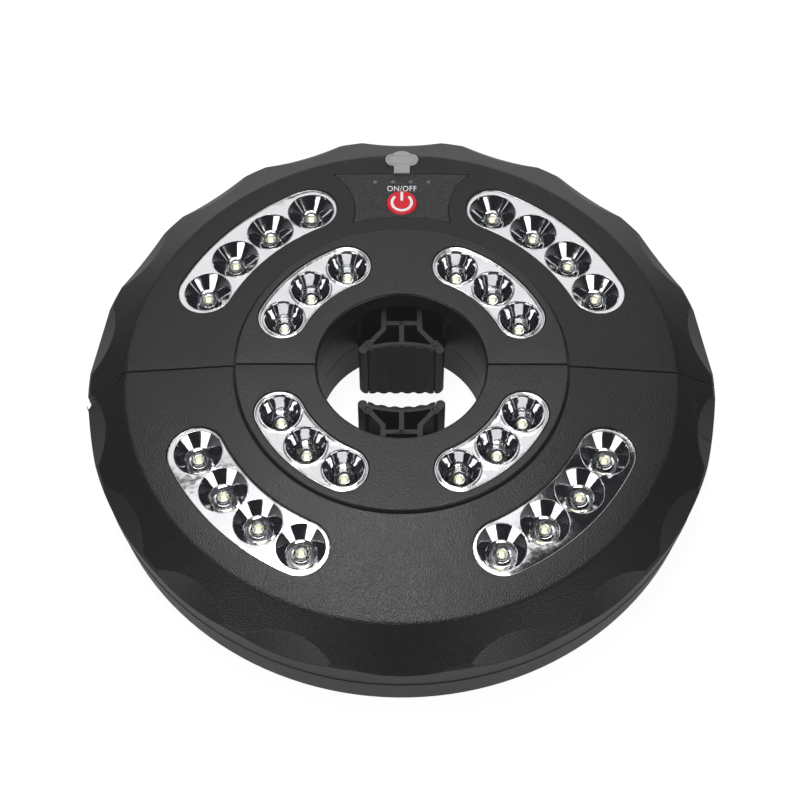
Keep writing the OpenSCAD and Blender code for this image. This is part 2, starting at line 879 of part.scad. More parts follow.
module half_board_screws(places) {
    color("#b9bcc0") both_sides() for (place = places)
        translate([place[0], place[1], board_top]) {
            cylinder(r = 1.9, h = 1.1, $fn = small);
            translate([0, 0, -board_t - 4]) cylinder(r = 0.8, h = board_t + 4.1, $fn = small);
        }
}

module half_cover_screws() {
    color("#8d9094") both_sides() for (place = boss_places)
        translate([place[0], place[1], screw_seat_z]) difference() {
            union() {
                translate([0, 0, -2]) cylinder(r = screw_head_r, h = 2, $fn = small);
                translate([0, 0, -over])
                    cylinder(r = screw_shank_r, h = screw_tip_z - screw_seat_z, $fn = small);
            }
            for (turn = [0, 90]) rotate([0, 0, turn])
                translate([-1.7, -0.35, -3]) cube([3.4, 0.7, 2.1]);
        }
}

// ---------------------------------------------------------------- controls

module control_panel() {
    color("#262628") difference() {
        intersection() {
            panel_prism(0);
            skin_ring(inner_face_r + 1, shoulder_r, panel_sink, panel_t + panel_sink);
        }
        translate([0, button_y, 30]) cylinder(r = button_r + button_fit, h = 12);
        for (i = [-1.5 : 1 : 1.5]) translate([i * indicator_pitch, indicator_y, 30])
            cylinder(r = indicator_r + window_fit, h = 12, $fn = small);
    }
}

module indicator_windows() {
    top = face_z(indicator_y) - panel_sink;
    color("#b8b8b8") for (i = [-1.5 : 1 : 1.5])
        translate([i * indicator_pitch, indicator_y, board_top + 1])
            cylinder(r = indicator_r, h = top - board_top - 1.05, $fn = small);
}

module power_button() {
    color("#d8343c") translate([0, button_y, 0]) {
        translate([0, 0, button_flange_z]) cylinder(r = button_flange_r, h = 0.9);
        translate([0, 0, button_flange_z]) cylinder(r = button_r, h = button_top - button_flange_z - 0.4);
        translate([0, 0, button_top - 0.4 - over])
            cylinder(r1 = button_r, r2 = button_r - 0.5, h = 0.4 + over);
        translate([0, 0, plunger_top]) cylinder(r = 2.4, h = button_flange_z - plunger_top + over);
    }
}

module switch_plunger() {
    color("#3a3a3c") translate([0, button_y, plunger_z])
        cylinder(r = plunger_r, h = plunger_top - plunger_z, $fn = small);
}

module tact_switch() {
    color("#1c1c1e") translate([0, button_y, board_top]) difference() {
        translate([-switch_half, -switch_half, 0]) cube([2 * switch_half, 2 * switch_half, switch_h]);
        translate([0, 0, 1.4]) cylinder(r = plunger_r + pin_fit, h = switch_h, $fn = small);
    }
}

module usb_socket() {
    color("#c5c8cc") difference() {
        union() {
            box(-usb_w / 2, usb_w / 2, port_y - usb_d / 2, port_y + usb_d / 2, board_top, usb_top);
            box(-usb_w / 2 - 1, usb_w / 2 + 1, port_y - 0.6, port_y + 0.6, board_top, board_top + 1);
        }
        box(-usb_w / 2 + usb_shell, usb_w / 2 - usb_shell, port_y - usb_d / 2 + usb_shell,
            port_y + usb_d / 2 - usb_shell, board_top + 1, usb_top + 1);
    }
    color("#222") box(-usb_w / 2 + 1.6, usb_w / 2 - 1.6, port_y - 0.35, port_y + 0.35,
        board_top + 0.9, usb_top - 0.4);
}

module port_cover() {
    color("#9c9ea0") difference() {
        union() {
            intersection() {
                port_prism(0);
                skin_ring(80, rim_r - 2, -port_proud, port_sink);
            }
            box(-plug_w / 2, plug_w / 2, port_y - plug_d / 2, port_y + plug_d / 2,
                face_z(port_y) - port_sink - plug_h, face_z(port_y) - port_sink + 0.4);
        }
        intersection() {
            difference() {
                port_prism(-0.75);
                port_prism(-1.05);
            }
            box(-10, 10, port_y - 2.6, port_y + 2.6, 28, disc_h);
            skin_ring(80, rim_r - 2, -2, -port_proud + 0.25);
        }
    }
}

module port_cover_strap() {
    color("#9c9ea0") {
        intersection() {
            box(-port_strap_w / 2, port_strap_w / 2, port_root_y, port_pivot_y - 0.05, 28, 40);
            skin_ring(80, shoulder_r, -port_proud, port_sink);
        }
    }
}

module control_board() {
    color("#2f6a3c") difference() {
        union() {
            box(-control_half_w, control_half_w, control_y0, control_y1, board_z, board_top);
            for (i = [-1.5 : 1 : 1.5]) box(i * indicator_pitch - 0.8, i * indicator_pitch + 0.8,
                indicator_y - 0.5, indicator_y + 0.5, board_top - over, board_top + 0.9);
            box(-14, -8, 84, 90, board_top - over, board_top + 1.5);
            box(8.5, 13.5, 85, 89, board_top - over, board_top + 1.2);
            box(-17, -12, 64.5, 69.5, board_top - over, board_top + 2.6);
            box(11, 17, 64.5, 67.5, board_top - over, board_top + 2.6);
        }
        both_sides() for (place = control_pillars)
            translate([place[0], place[1], board_z - 1]) cylinder(r = 1.1, h = 4, $fn = small);
    }
}

// ---------------------------------------------------------------- cells and leads

// A frame with its X axis along the cell, at the middle of its length
module at_cell() {
    rotate([0, 0, quadrant]) translate([cell_ring_r, 0, 0]) rotate([0, 0, 90]) children();
}

module battery_cells() {
    color("#2e7fc0") both_sides() at_cell() translate([0, 0, cell_z]) rotate([0, 90, 0]) {
        translate([0, 0, -cell_len / 2]) cylinder(r = cell_r, h = cell_len - 1.6);
        translate([0, 0, cell_len / 2 - 1.7]) cylinder(r = 3.2, h = 1.7, $fn = small);
    }
}

module battery_cradle() {
    color("#3a3a3c") both_sides() at_cell() difference() {
        translate([-cradle_half_l, -cradle_half_w, cradle_z])
            cube([2 * cradle_half_l, 2 * cradle_half_w, cradle_h]);
        translate([-cell_len / 2 - 0.2, 0, cell_z]) rotate([0, 90, 0])
            cylinder(r = cell_r + cell_fit, h = cell_len + 0.4);
        translate([-20, -cradle_half_w - 1, cradle_z + 3]) cube([40, 2 * cradle_half_w + 2, cradle_h]);
    }
}

module battery_leads() {
    color("#c0392b") both_sides() {
        lead([[24.2, 71.9, cell_z], [21, 76, cell_z], [18.5, 79, 18], [18.5, 79, board_z - 0.1]], 0.7);
        lead([[71.2, 24.3, cell_z], [77, 19, 16], [79, 24, 24], [62, 62, 24], [26, 86, 24],
            [18.5, 85.5, 24.3], [18.5, 85.5, board_z - 0.1]], 0.7);
    }
}

module main_hinge_lead() {
    color("#222") lead([[hinge_x, hinge_y, lead_meet_z], [hinge_x, hinge_y, main_lead_z - 0.8],
        [hinge_x + 0.8, hinge_y + 0.3, main_lead_z], [-93, 7, main_lead_z],
        [-87, 11, board_lead_z], [-76, 18, board_lead_z]], lead_r);
}

module swing_hinge_lead() {
    color("#222") lead([[hinge_x, hinge_y, lead_meet_z - 0.1], [hinge_x, hinge_y, seam_z + 0.8],
        [hinge_x + 0.6, hinge_y - 0.6, seam_z], [-92, -9.6, seam_z],
        [-87, -13, board_lead_z], [-76, -18, board_lead_z]], lead_r);
}

// ---------------------------------------------------------------- clamp jaws

// Band of an arc about the grip's centre
module grip_band(r0, r1, half_w) {
    intersection() {
        translate([0, grip_centre_y, 0]) difference() {
            cylinder(r = r1, h = jaw_top, $fn = fine);
            translate([0, 0, -1]) cylinder(r = r0, h = jaw_top + 2, $fn = fine);
        }
        box(-half_w, half_w, 0, 30, -1, jaw_top + 1);
    }
}

// Space in which the bulging lower edge of a jaw lies
module belly() {
    translate([0, 0, belly_z]) rotate([-90, 0, 0]) cylinder(r = belly_r, h = 60, $fn = fine);
    box(-30, 30, 0, 60, belly_z, 60);
}

module half_jaw_body() {
    tip_y = grip_centre_y + sqrt(pow(grip_r + pad_t + jaw_wall_t / 2, 2) - pow(tip_x, 2));
    tip = [tip_x, tip_y];
    knee = [neck_x, knee_y];
    color("#333335") {
        difference() {
            union() {
                intersection() {
                    union() {
                        grip_band(grip_r + pad_t, grip_r + pad_t + jaw_wall_t, tip_x);
                        both_sides() translate([tip[0], tip[1], 0])
                            cylinder(r = tip_r, h = jaw_top, $fn = small);
                    }
                    belly();
                }
                both_sides() {
                    strut(knob, knee, tail_y + 0.5, rib_t, shelf_z + 0.3, jaw_top);
                    bar(knob + knob_shift, tip + knob_shift, knob_bar_t, shelf_z + 0.3, jaw_top);
                    translate([knob[0], knob[1], shelf_z + 0.3])
                        cylinder(r = knob_r, h = jaw_top - shelf_z - 0.3, $fn = small);
                }
                box(-neck_x, neck_x, crossbar_y - rib_t / 2, crossbar_y + rib_t / 2,
                    shelf_z + 0.3, jaw_top);
                box(-rib_t / 2, rib_t / 2, grip_y + pad_t + 0.3, crossbar_y, shelf_z + 0.3, jaw_top);
                difference() {
                    box(-jaw_half_w + 0.2, jaw_half_w - 0.2, 11, tail_y + 0.5, shelf_z, shelf_z + shelf_t);
                    translate([0, grip_centre_y, 0])
                        cylinder(r = grip_r + pad_t + 0.5, h = disc_h, $fn = fine);
                }
                box(-tail_half_w, tail_half_w, tail_y, tail_y + tail_t, tail_z0, tail_z1);
                both_sides() translate([spring_x, tail_y + tail_t + peg_h, spring_z])
                    rotate([90, 0, 0]) cylinder(r = peg_r, h = peg_h + over, $fn = small);
            }
            both_sides() translate([knob[0], knob[1], jaw_top - mark_depth])
                cylinder(r = 0.95, h = 2, $fn = small);
            translate([0, crossbar_y, jaw_top - mark_depth]) cylinder(r = 0.7, h = 2, $fn = small);
        }
    }
}

module half_jaw_pad() {
    color("#1f1f20") intersection() {
        union() {
            grip_band(grip_r + 0.55, grip_r + pad_t, pad_half_w);
            for (i = [0 : lobe_count - 1])
                translate([0, grip_centre_y, 0])
                    rotate([0, 0, 90 + (i - (lobe_count - 1) / 2) * lobe_pitch])
                        translate([grip_r + wave_r, 0, 0]) cylinder(r = wave_r, h = jaw_top, $fn = 48);
        }
        grip_band(grip_r - 1, grip_r + pad_t - 0.02, pad_half_w);
        belly();
    }
}

module half_jaw_springs() {
    color("#b9bcc0") both_sides() translate([spring_x, tail_y + tail_t + 0.5, spring_z])
        rotate([-90, 0, 0]) coil(spring_r - spring_wire, spring_wire, 7,
            spring_wall_y - tail_y - tail_t - 1);
}

// ---------------------------------------------------------------- hinge and latch

module hinge_pin() {
    color("#b9bcc0") difference() {
        hinge_column(pin_r, pin_z0, pin_z1);
        hinge_column(pin_bore_r, pin_z0 + 2, pin_z1 + 1);
        channel([hinge_x, hinge_y, seam_z], [-92, -9.6, seam_z], lead_r + 0.3);
    }
}

// Window for the button in the swing half's covers
module latch_window() {
    box(latch_x0, rim_r + 5, -latch_y1, -latch_y0, latch_z0, disc_h);
}

// Short round ends on which the button rocks, grown by a fit
module latch_trunnions(grow) {
    translate([latch_pivot_x, latch_y0 - trunnion_len - grow, latch_pivot_z]) rotate([-90, 0, 0])
        cylinder(r = trunnion_r + grow, h = latch_y1 - latch_y0 + 2 * (trunnion_len + grow), $fn = small);
}

module latch_button() {
    color("#2b2b2d") difference() {
        union() {
            intersection() {
                disc_body();
                box(latch_x0 + latch_fit, rim_r + 5, latch_y0 + latch_fit, latch_y1 - latch_fit,
                    latch_z0 + latch_foot_gap, disc_h);
            }
            latch_trunnions(0);
            box(latch_plate_x0, latch_plate_x1, latch_y0 - 1.8, latch_y1 + 2,
                latch_z0 - 1.5, latch_plate_z1);
            box(latch_plate_x0, latch_x0 + 1, latch_y0 + 1, latch_y1 - 1,
                latch_z0 + 1, latch_plate_z1);
            box(arm_x0, arm_x0 + arm_t, arm_y0, barb_y1, arm_z0, arm_z1);
            translate([0, 0, arm_z0]) linear_extrude(height = arm_z1 - arm_z0)
                polygon([[arm_x0 + arm_t - over, barb_y0], [barb_x1, barb_y0],
                    [barb_x1 - 0.6, barb_y0 + 1.2], [arm_x0 + arm_t - over, barb_y1]]);
        }
        translate([latch_plate_x0 - over, latch_spring_y, latch_spring_z]) rotate([0, 90, 0])
            cylinder(r = spring_r + 0.3, h = 1.2, $fn = small);
    }
}

module latch_spring() {
    color("#b9bcc0") translate([latch_post_x + 2.45, latch_spring_y, latch_spring_z])
        rotate([0, 90, 0]) coil(spring_r - spring_wire, spring_wire, 4,
            latch_plate_x0 - latch_post_x - 2.45 + 0.6);
}

module latch_catch() {
    color("#b9bcc0") difference() {
        box(arm_slot_x0 - 2, catch_x1, catch_y0, catch_y0 + catch_t, wall, catch_z1);
        box(arm_slot_x0, catch_x0, 0, 5, arm_z0 - 0.8, arm_z1 + 1);
    }
}

// ---------------------------------------------------------------- hooks

module half_hook() {
    color("#2b2b2d") difference() {
        union() {
            difference() {
                translate([0, hook_ring_y, hook_z0]) cylinder(r = hook_ring_r, h = hook_t);
                translate([0, hook_ring_y, 0]) cylinder(r = hook_ring_hole_r, h = 10);
                box(-9, -2, hook_ring_y + 1.5, hook_ring_y + 9, 0, 10);
            }
            box(-2.4, 2.4, hook_ring_y + hook_ring_hole_r + 0.6, hook_pivot_y, hook_z0, hook_z0 + hook_t);
            translate([-hook_barrel_half, hook_pivot_y, hook_pivot_z]) rotate([0, 90, 0])
                cylinder(r = hook_barrel_r, h = 2 * hook_barrel_half);
        }
        translate([-10, hook_pivot_y, hook_pivot_z]) rotate([0, 90, 0])
            cylinder(r = hook_pin_r + pin_fit, h = 20, $fn = small);
    }
}

module half_hook_pin() {
    color("#b9bcc0") translate([-hook_pin_half, hook_pivot_y, hook_pivot_z]) rotate([0, 90, 0])
        cylinder(r = hook_pin_r, h = 2 * hook_pin_half, $fn = small);
}

// ---------------------------------------------------------------- nodes

main_face_cover();
main_back_cover();
swing_face_cover();
swing_back_cover();
control_panel();
indicator_windows();
power_button();
switch_plunger();
tact_switch();
usb_socket();
port_cover();
port_cover_strap();
control_board();
mirror([1, 0, 0]) outer_reflector();  // main_outer_reflector_left
outer_reflector();  // main_outer_reflector_right
mirror([1, 0, 0]) inner_reflector();  // main_inner_reflector_left
inner_reflector();  // main_inner_reflector_right
swing_side() mirror([1, 0, 0]) outer_reflector();  // swing_outer_reflector_left
swing_side() outer_reflector();  // swing_outer_reflector_right
swing_side() mirror([1, 0, 0]) inner_reflector();  // swing_inner_reflector_left
swing_side() inner_reflector();  // swing_inner_reflector_right
half_led_boards();  // main_led_boards
swing_side() half_led_boards();  // swing_led_boards
half_led_lenses();  // main_led_lenses
swing_side() half_led_lenses();  // swing_led_lenses
half_led_chips();  // main_led_chips
swing_side() half_led_chips();  // swing_led_chips
battery_cells();
battery_cradle();
battery_leads();
half_jaw_body();  // main_jaw
swing_side() half_jaw_body();  // swing_jaw
half_jaw_pad();  // main_jaw_pad
swing_side() half_jaw_pad();  // swing_jaw_pad
half_jaw_springs();  // main_jaw_springs
swing_side() half_jaw_springs();  // swing_jaw_springs
hinge_pin();
main_hinge_lead();
swing_hinge_lead();
latch_button();
latch_spring();
latch_catch();
half_hook();  // main_hook
swing_side() half_hook();  // swing_hook
half_hook_pin();  // main_hook_pin
swing_side() half_hook_pin();  // swing_hook_pin
half_cover_screws();  // main_cover_screws
swing_side() half_cover_screws();  // swing_cover_screws
half_board_screws(concat(led_pillars, control_pillars));  // main_board_screws
swing_side() half_board_screws(led_pillars);  // swing_board_screws
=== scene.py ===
# %% [markdown]
# # Patio umbrella light
#
# A round light in two hinged halves that clamps round the pole of an umbrella. Rings of
# light-emitting diodes sit in bright reflector trays, a red button and a charging port sit at
# the far edge, and two sprung jaws reach into the pole hole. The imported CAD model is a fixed
# frame: this script dresses it, adds the small pieces that only the eye needs, and lights it.
# Lengths of the studio are in metres, and those of the light itself in millimetres, times MM.

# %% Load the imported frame
import json
import math

import bmesh
import bpy
from mathutils import Matrix, Vector


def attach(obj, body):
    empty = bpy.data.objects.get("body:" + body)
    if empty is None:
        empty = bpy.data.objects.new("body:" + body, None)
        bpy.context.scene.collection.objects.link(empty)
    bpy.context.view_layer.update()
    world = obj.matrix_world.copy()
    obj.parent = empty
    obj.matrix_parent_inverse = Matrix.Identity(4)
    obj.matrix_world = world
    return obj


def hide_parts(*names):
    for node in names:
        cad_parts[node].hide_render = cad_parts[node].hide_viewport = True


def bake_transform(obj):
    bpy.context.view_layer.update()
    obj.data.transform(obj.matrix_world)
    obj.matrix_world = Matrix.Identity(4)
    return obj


MM = 0.001

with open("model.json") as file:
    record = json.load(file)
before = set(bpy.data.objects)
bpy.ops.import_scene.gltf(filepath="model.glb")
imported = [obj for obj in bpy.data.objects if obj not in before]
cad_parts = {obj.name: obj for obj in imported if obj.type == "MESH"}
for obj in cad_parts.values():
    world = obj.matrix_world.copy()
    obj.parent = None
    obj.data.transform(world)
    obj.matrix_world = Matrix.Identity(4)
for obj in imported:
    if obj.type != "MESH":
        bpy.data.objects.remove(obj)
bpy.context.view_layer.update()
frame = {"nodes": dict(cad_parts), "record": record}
subparts = frame["record"]["subparts"]
scene = bpy.context.scene

# %% [markdown]
# ## The camera
#
# The photograph looks down on the light from the front at 58 degrees below the horizon. Circles
# that were measured in it, such as the pole hole and the rim, give the camera's place and its
# focal length. A long lens from 0.73 m away keeps the far rim only a little smaller than the
# near one.

# %% Camera
CAMERA_PLACE = (0.0, -0.3793, 0.6273)
CAMERA_PITCH = math.radians(58.12)
CAMERA_YAW = math.radians(0.082)
FOCAL_PIXELS, FRAME_PIXELS = 2065.6, 800
SENSOR_W = 36.0
NEAREST_SEEN = 0.01

camera_data = bpy.data.cameras.new("camera")
camera_data.sensor_width = SENSOR_W
camera_data.lens = SENSOR_W * FOCAL_PIXELS / FRAME_PIXELS
camera_data.clip_start = NEAREST_SEEN
camera = bpy.data.objects.new("camera", camera_data)
camera.location = CAMERA_PLACE
camera.rotation_euler = (math.pi / 2 - CAMERA_PITCH, 0.0, CAMERA_YAW)
scene.collection.objects.link(camera)
scene.camera = camera
print("lens in mm:", round(camera_data.lens, 2))

# %% [markdown]
# ## The room and the floor
#
# A mirror shows only what stands round it, so bright trays look like metal only in a room that
# has both light and dark. This room is dark, and a little lighter towards the horizon. The floor
# is a sheet of white paper lit from below, as for catalogue pictures. Room and floor would flood
# the black plastic with light if they were as bright as they look. So each has two colours, and
# a Light Path node gives the pale one to the camera and the dark one to every other ray.

# %% Helpers for shaders


def grey(value):
    """A neutral colour."""
    return (value, value, value, 1)


def link(tree, output, node, socket):
    """Joins an output socket to a named input of a node."""
    tree.links.new(output, node.inputs[socket])


def camera_switch(tree):
    """A colour mix whose B is what the camera sees, and whose A is what other rays meet."""
    path = tree.nodes.new("ShaderNodeLightPath")
    switch = tree.nodes.new("ShaderNodeMix")
    switch.data_type = "RGBA"
    link(tree, path.outputs["Is Camera Ray"], switch, "Factor")
    return switch


def new_material(name, **constants):
    """A material whose constant values sit on its own Principled shader."""
    material = bpy.data.materials.new(name)
    material.use_nodes = True
    shader = material.node_tree.nodes["Principled BSDF"]
    for socket, value in constants.items():
        shader.inputs[socket.replace("_", " ")].default_value = value
    return material, material.node_tree, shader


# %% The dark room
ROOM_LOW, ROOM_HIGH = (0.12, 0.12, 0.125, 1), (0.02, 0.02, 0.023, 1)
HORIZON_FADE = 0.35
BACKDROP = 0.93


def studio_room():
    """A dark room that is a little lighter at the horizon, with a pale backdrop for the camera."""
    world = bpy.data.worlds.new("studio_room")
    world.use_nodes = True
    tree = world.node_tree
    coordinate = tree.nodes.new("ShaderNodeTexCoord")
    parts = tree.nodes.new("ShaderNodeSeparateXYZ")
    ramp = tree.nodes.new("ShaderNodeValToRGB")
    low, high = ramp.color_ramp.elements
    low.position, low.color = 0.0, ROOM_LOW
    high.position, high.color = HORIZON_FADE, ROOM_HIGH
    seen = camera_switch(tree)
    seen.inputs["B"].default_value = grey(BACKDROP)
    link(tree, coordinate.outputs["Generated"], parts, "Vector")
    link(tree, parts.outputs["Z"], ramp, "Fac")
    link(tree, ramp.outputs["Color"], seen, "A")
    link(tree, seen.outputs["Result"], tree.nodes["Background"], "Color")
    scene.world = world
    return world


print("room:", studio_room().name)

# %% The paper floor
FLOOR_SIZE, FLOOR_GAP = 8.0, 0.0001
PAPER_GREY, PAPER_ROUGHNESS = 0.3, 0.9
PAPER_GLOW, PAPER_FILL = 0.93, 0.24


def paper_floor():
    """A wide sheet of white paper, lit from below, a hair under the light's flat back."""
    bm = bmesh.new()
    bmesh.ops.create_grid(bm, x_segments=1, y_segments=1, size=FLOOR_SIZE / 2)
    bmesh.ops.translate(bm, vec=(0, 0, -FLOOR_GAP), verts=bm.verts)
    mesh = bpy.data.meshes.new("floor")
    bm.to_mesh(mesh)
    bm.free()
    material, tree, shader = new_material("floor_paper", Base_Color=grey(PAPER_GREY),
                                          Roughness=PAPER_ROUGHNESS, Emission_Strength=1.0)
    glow = camera_switch(tree)
    glow.inputs["A"].default_value = grey(PAPER_FILL)
    glow.inputs["B"].default_value = grey(PAPER_GLOW)
    link(tree, glow.outputs["Result"], shader, "Emission Color")
    mesh.materials.append(material)
    floor = bpy.data.objects.new("floor", mesh)
    scene.collection.objects.link(floor)
    return floor


floor = paper_floor()
print("floor in m:", [round(side, 2) for side in floor.dimensions])

# %% [markdown]
# ## The studio lamps
#
# Each soft lamp has one task. The back top lamp and the tray lamp are what the flat trays mirror,
# and the overhead lamp lights the front of the sloping face. The two front lamps draw the pair of
# bright fingers in each cup, and the narrow strips at the sides draw faint streaks beside them.
# The back wall lamp stands low and far behind, for the rear rim. A lamp's power follows from how
# bright it should look: the radiance times its area times pi.

# %% Soft lamps
CENTRE, FACE_CENTRE = (0, 0, 0), (0, 0, 0.03)

# name: place, target, width and height, radiance
LAMPS = {
    "back_top_lamp": ((-0.08, 0.74, 0.965), CENTRE, (1.3, 0.6), 0.85),
    "tray_lamp": ((-0.1, 0.33, 1.11), CENTRE, (0.7, 0.3), 1.0),
    "overhead_lamp": ((-0.06, 0.12, 0.95), CENTRE, (0.42, 0.3), 5.6),
    "left_strip_lamp": ((-0.8, -0.1, 0.7), CENTRE, (0.05, 0.5), 0.9),
    "right_strip_lamp": ((0.8, -0.1, 0.7), CENTRE, (0.05, 0.5), 0.9),
    "front_left_lamp": ((-0.656, -0.755, 0.47), FACE_CENTRE, (0.56, 0.62), 1.8),
    "front_right_lamp": ((0.656, -0.755, 0.47), FACE_CENTRE, (0.56, 0.62), 1.8),
    "back_wall_lamp": ((0.0, 2.2, 0.35), FACE_CENTRE, (3.0, 0.6), 1.6),
}


def soft_lamp(name, place, target, size, radiance):
    """A rectangular lamp at a place, aimed at a target, unseen by the camera itself."""
    data = bpy.data.lights.new(name, "AREA")
    data.shape = "RECTANGLE"
    data.size, data.size_y = size
    data.energy = radiance * size[0] * size[1] * math.pi
    lamp = bpy.data.objects.new(name, data)
    lamp.location = place
    aim = Vector(target) - Vector(place)
    lamp.rotation_euler = aim.to_track_quat("-Z", "Y").to_euler()
    lamp.visible_camera = False
    scene.collection.objects.link(lamp)


for name, values in LAMPS.items():
    soft_lamp(name, *values)
scene.view_settings.view_transform = "Standard"

# %% [markdown]
# ## Shared shader effects
#
# Moulded plastic is never plain: the steel mould is spark-eroded, which leaves a fine grain, and
# handling leaves faint smears that change the gloss. Both effects are node groups with named
# inputs, so that every material can use them at its own scale.

# %% Helpers for node groups


def new_group(name, inputs, outputs):
    """An empty shader group with float inputs and float outputs."""
    group = bpy.data.node_groups.new(name, "ShaderNodeTree")
    for in_out, names in (("INPUT", inputs), ("OUTPUT", outputs)):
        for socket_name in names:
            group.interface.new_socket(socket_name, in_out=in_out, socket_type="NodeSocketFloat")
    return group, group.nodes.new("NodeGroupInput"), group.nodes.new("NodeGroupOutput")


def object_pattern(tree, kind, **values):
    """A procedural texture node on object coordinates, so its scale is in cells a metre."""
    coordinate = tree.nodes.new("ShaderNodeTexCoord")
    pattern = tree.nodes.new(kind)
    for socket, value in values.items():
        pattern.inputs[socket].default_value = value
    link(tree, coordinate.outputs["Object"], pattern, "Vector")
    return pattern


def maths(tree, operation, first, second):
    """A maths node on two sources, each an output socket or a number."""
    node = tree.nodes.new("ShaderNodeMath")
    node.operation = operation
    for index, source in enumerate((first, second)):
        if isinstance(source, (int, float)):
            node.inputs[index].default_value = source
        else:
            link(tree, source, node, index)
    return node.outputs["Value"]


# %% Grain of a spark-eroded mould
PIT_SOFTNESS = 0.6
SPECKLE_PER_PIT = 0.55
SPECKLE_LOOK = {"Detail": 3.0, "Roughness": 0.65}


def mould_grain_group():
    """Height of a spark-eroded surface: round pits with a coarser speckle over them."""
    group, given, result = new_group("mould_grain", ["Density"], ["Height", "Speckle"])
    pits = object_pattern(group, "ShaderNodeTexVoronoi")
    pits.feature = "SMOOTH_F1"
    pits.inputs["Smoothness"].default_value = PIT_SOFTNESS
    link(group, given.outputs["Density"], pits, "Scale")
    speckle = object_pattern(group, "ShaderNodeTexNoise", **SPECKLE_LOOK)
    speckle_density = maths(group, "MULTIPLY", given.outputs["Density"], SPECKLE_PER_PIT)
    link(group, speckle_density, speckle, "Scale")
    height = maths(group, "ADD", pits.outputs["Distance"], speckle.outputs["Fac"])
    link(group, height, result, "Height")
    link(group, speckle.outputs["Fac"], result, "Speckle")
    return group


MOULD_GRAIN = mould_grain_group()
print("group:", MOULD_GRAIN.name)

# %% Smears of handling
SMEAR_LOOK = {"Detail": 4.0, "Roughness": 0.55, "Distortion": 0.8}
SMEAR_FROM, SMEAR_TO = 0.35, 0.7


def smear_group():
    """A slow mask of handling smears, from 0 to 1."""
    group, given, result = new_group("smears", ["Density"], ["Mask"])
    cloud = object_pattern(group, "ShaderNodeTexNoise", **SMEAR_LOOK)
    link(group, given.outputs["Density"], cloud, "Scale")
    spread = group.nodes.new("ShaderNodeMapRange")
    spread.inputs["From Min"].default_value = SMEAR_FROM
    spread.inputs["From Max"].default_value = SMEAR_TO
    link(group, cloud.outputs["Fac"], spread, "Value")
    link(group, spread.outputs["Result"], result, "Mask")
    return group


SMEARS = smear_group()
print("group:", SMEARS.name)

# %% [markdown]
# ## Moulded finishes
#
# Every moulded finish is the same function with its own row of values. What changes over a surface,
# such as its tone, its gloss and its grain, comes from nodes, and what is the same all over sits on
# the shader itself. A camera lays a thin veil of stray light over the darkest parts of a picture,
# and a very weak glow of the black plastics and rubbers gives the same veil. The red cap, the white
# print and the phosphor glow a little more, so that they look as bright as in the photograph.

# %% A moulded finish
GRAIN_STRENGTH = 0.5
CASE_SMEARS = 35.0


def placed_group(tree, group, density):
    """A copy of a node group in a material, with its own number of grains or smears a metre."""
    node = tree.nodes.new("ShaderNodeGroup")
    node.node_tree = group
    node.inputs["Density"].default_value = density
    return node


def mix_colours(tree, mask, dark, light):
    """Mixes two colours by a mask."""
    mix = tree.nodes.new("ShaderNodeMix")
    mix.data_type = "RGBA"
    link(tree, mask, mix, "Factor")
    mix.inputs["A"].default_value = (*dark, 1)
    mix.inputs["B"].default_value = (*light, 1)
    return mix.outputs["Result"]


def rescale(tree, mask, low, high):
    """Spreads a mask of 0 to 1 between two values."""
    node = tree.nodes.new("ShaderNodeMapRange")
    node.inputs["To Min"].default_value = low
    node.inputs["To Max"].default_value = high
    link(tree, mask, node, "Value")
    return node.outputs["Result"]


def add_bump(tree, shader, height, strength, depth):
    """Tilts a shader's normal by a height, which stands for a depth in metres."""
    bump = tree.nodes.new("ShaderNodeBump")
    bump.inputs["Strength"].default_value = strength
    bump.inputs["Distance"].default_value = depth
    link(tree, height, bump, "Height")
    link(tree, bump.outputs["Normal"], shader, "Normal")


def moulded(name, dark, light, roughness, density, depth, constants):
    """Moulded plastic or rubber: two close tones, a range of roughness, and grain."""
    material, tree, shader = new_material(name, **constants)
    grain = placed_group(tree, MOULD_GRAIN, density)
    smears = placed_group(tree, SMEARS, CASE_SMEARS)
    tone = mix_colours(tree, grain.outputs["Speckle"], dark, light)
    link(tree, tone, shader, "Base Color")
    link(tree, rescale(tree, smears.outputs["Mask"], *roughness), shader, "Roughness")
    add_bump(tree, shader, grain.outputs["Height"], GRAIN_STRENGTH, depth)
    return material


# %% The moulded finishes
DULL = {"Specular_IOR_Level": 0.3}
VEIL = {"Emission_Color": grey(1), "Emission_Strength": 0.007}
RED_GLOW = {"Emission_Color": (1.0, 0.03, 0.05, 1), "Emission_Strength": 0.14}
WARM_GLOW = {"Emission_Color": (1.0, 0.97, 0.7, 1), "Emission_Strength": 0.95}
WHITE_GLOW = {"Emission_Color": grey(1), "Emission_Strength": 0.3}
PLAIN = {}

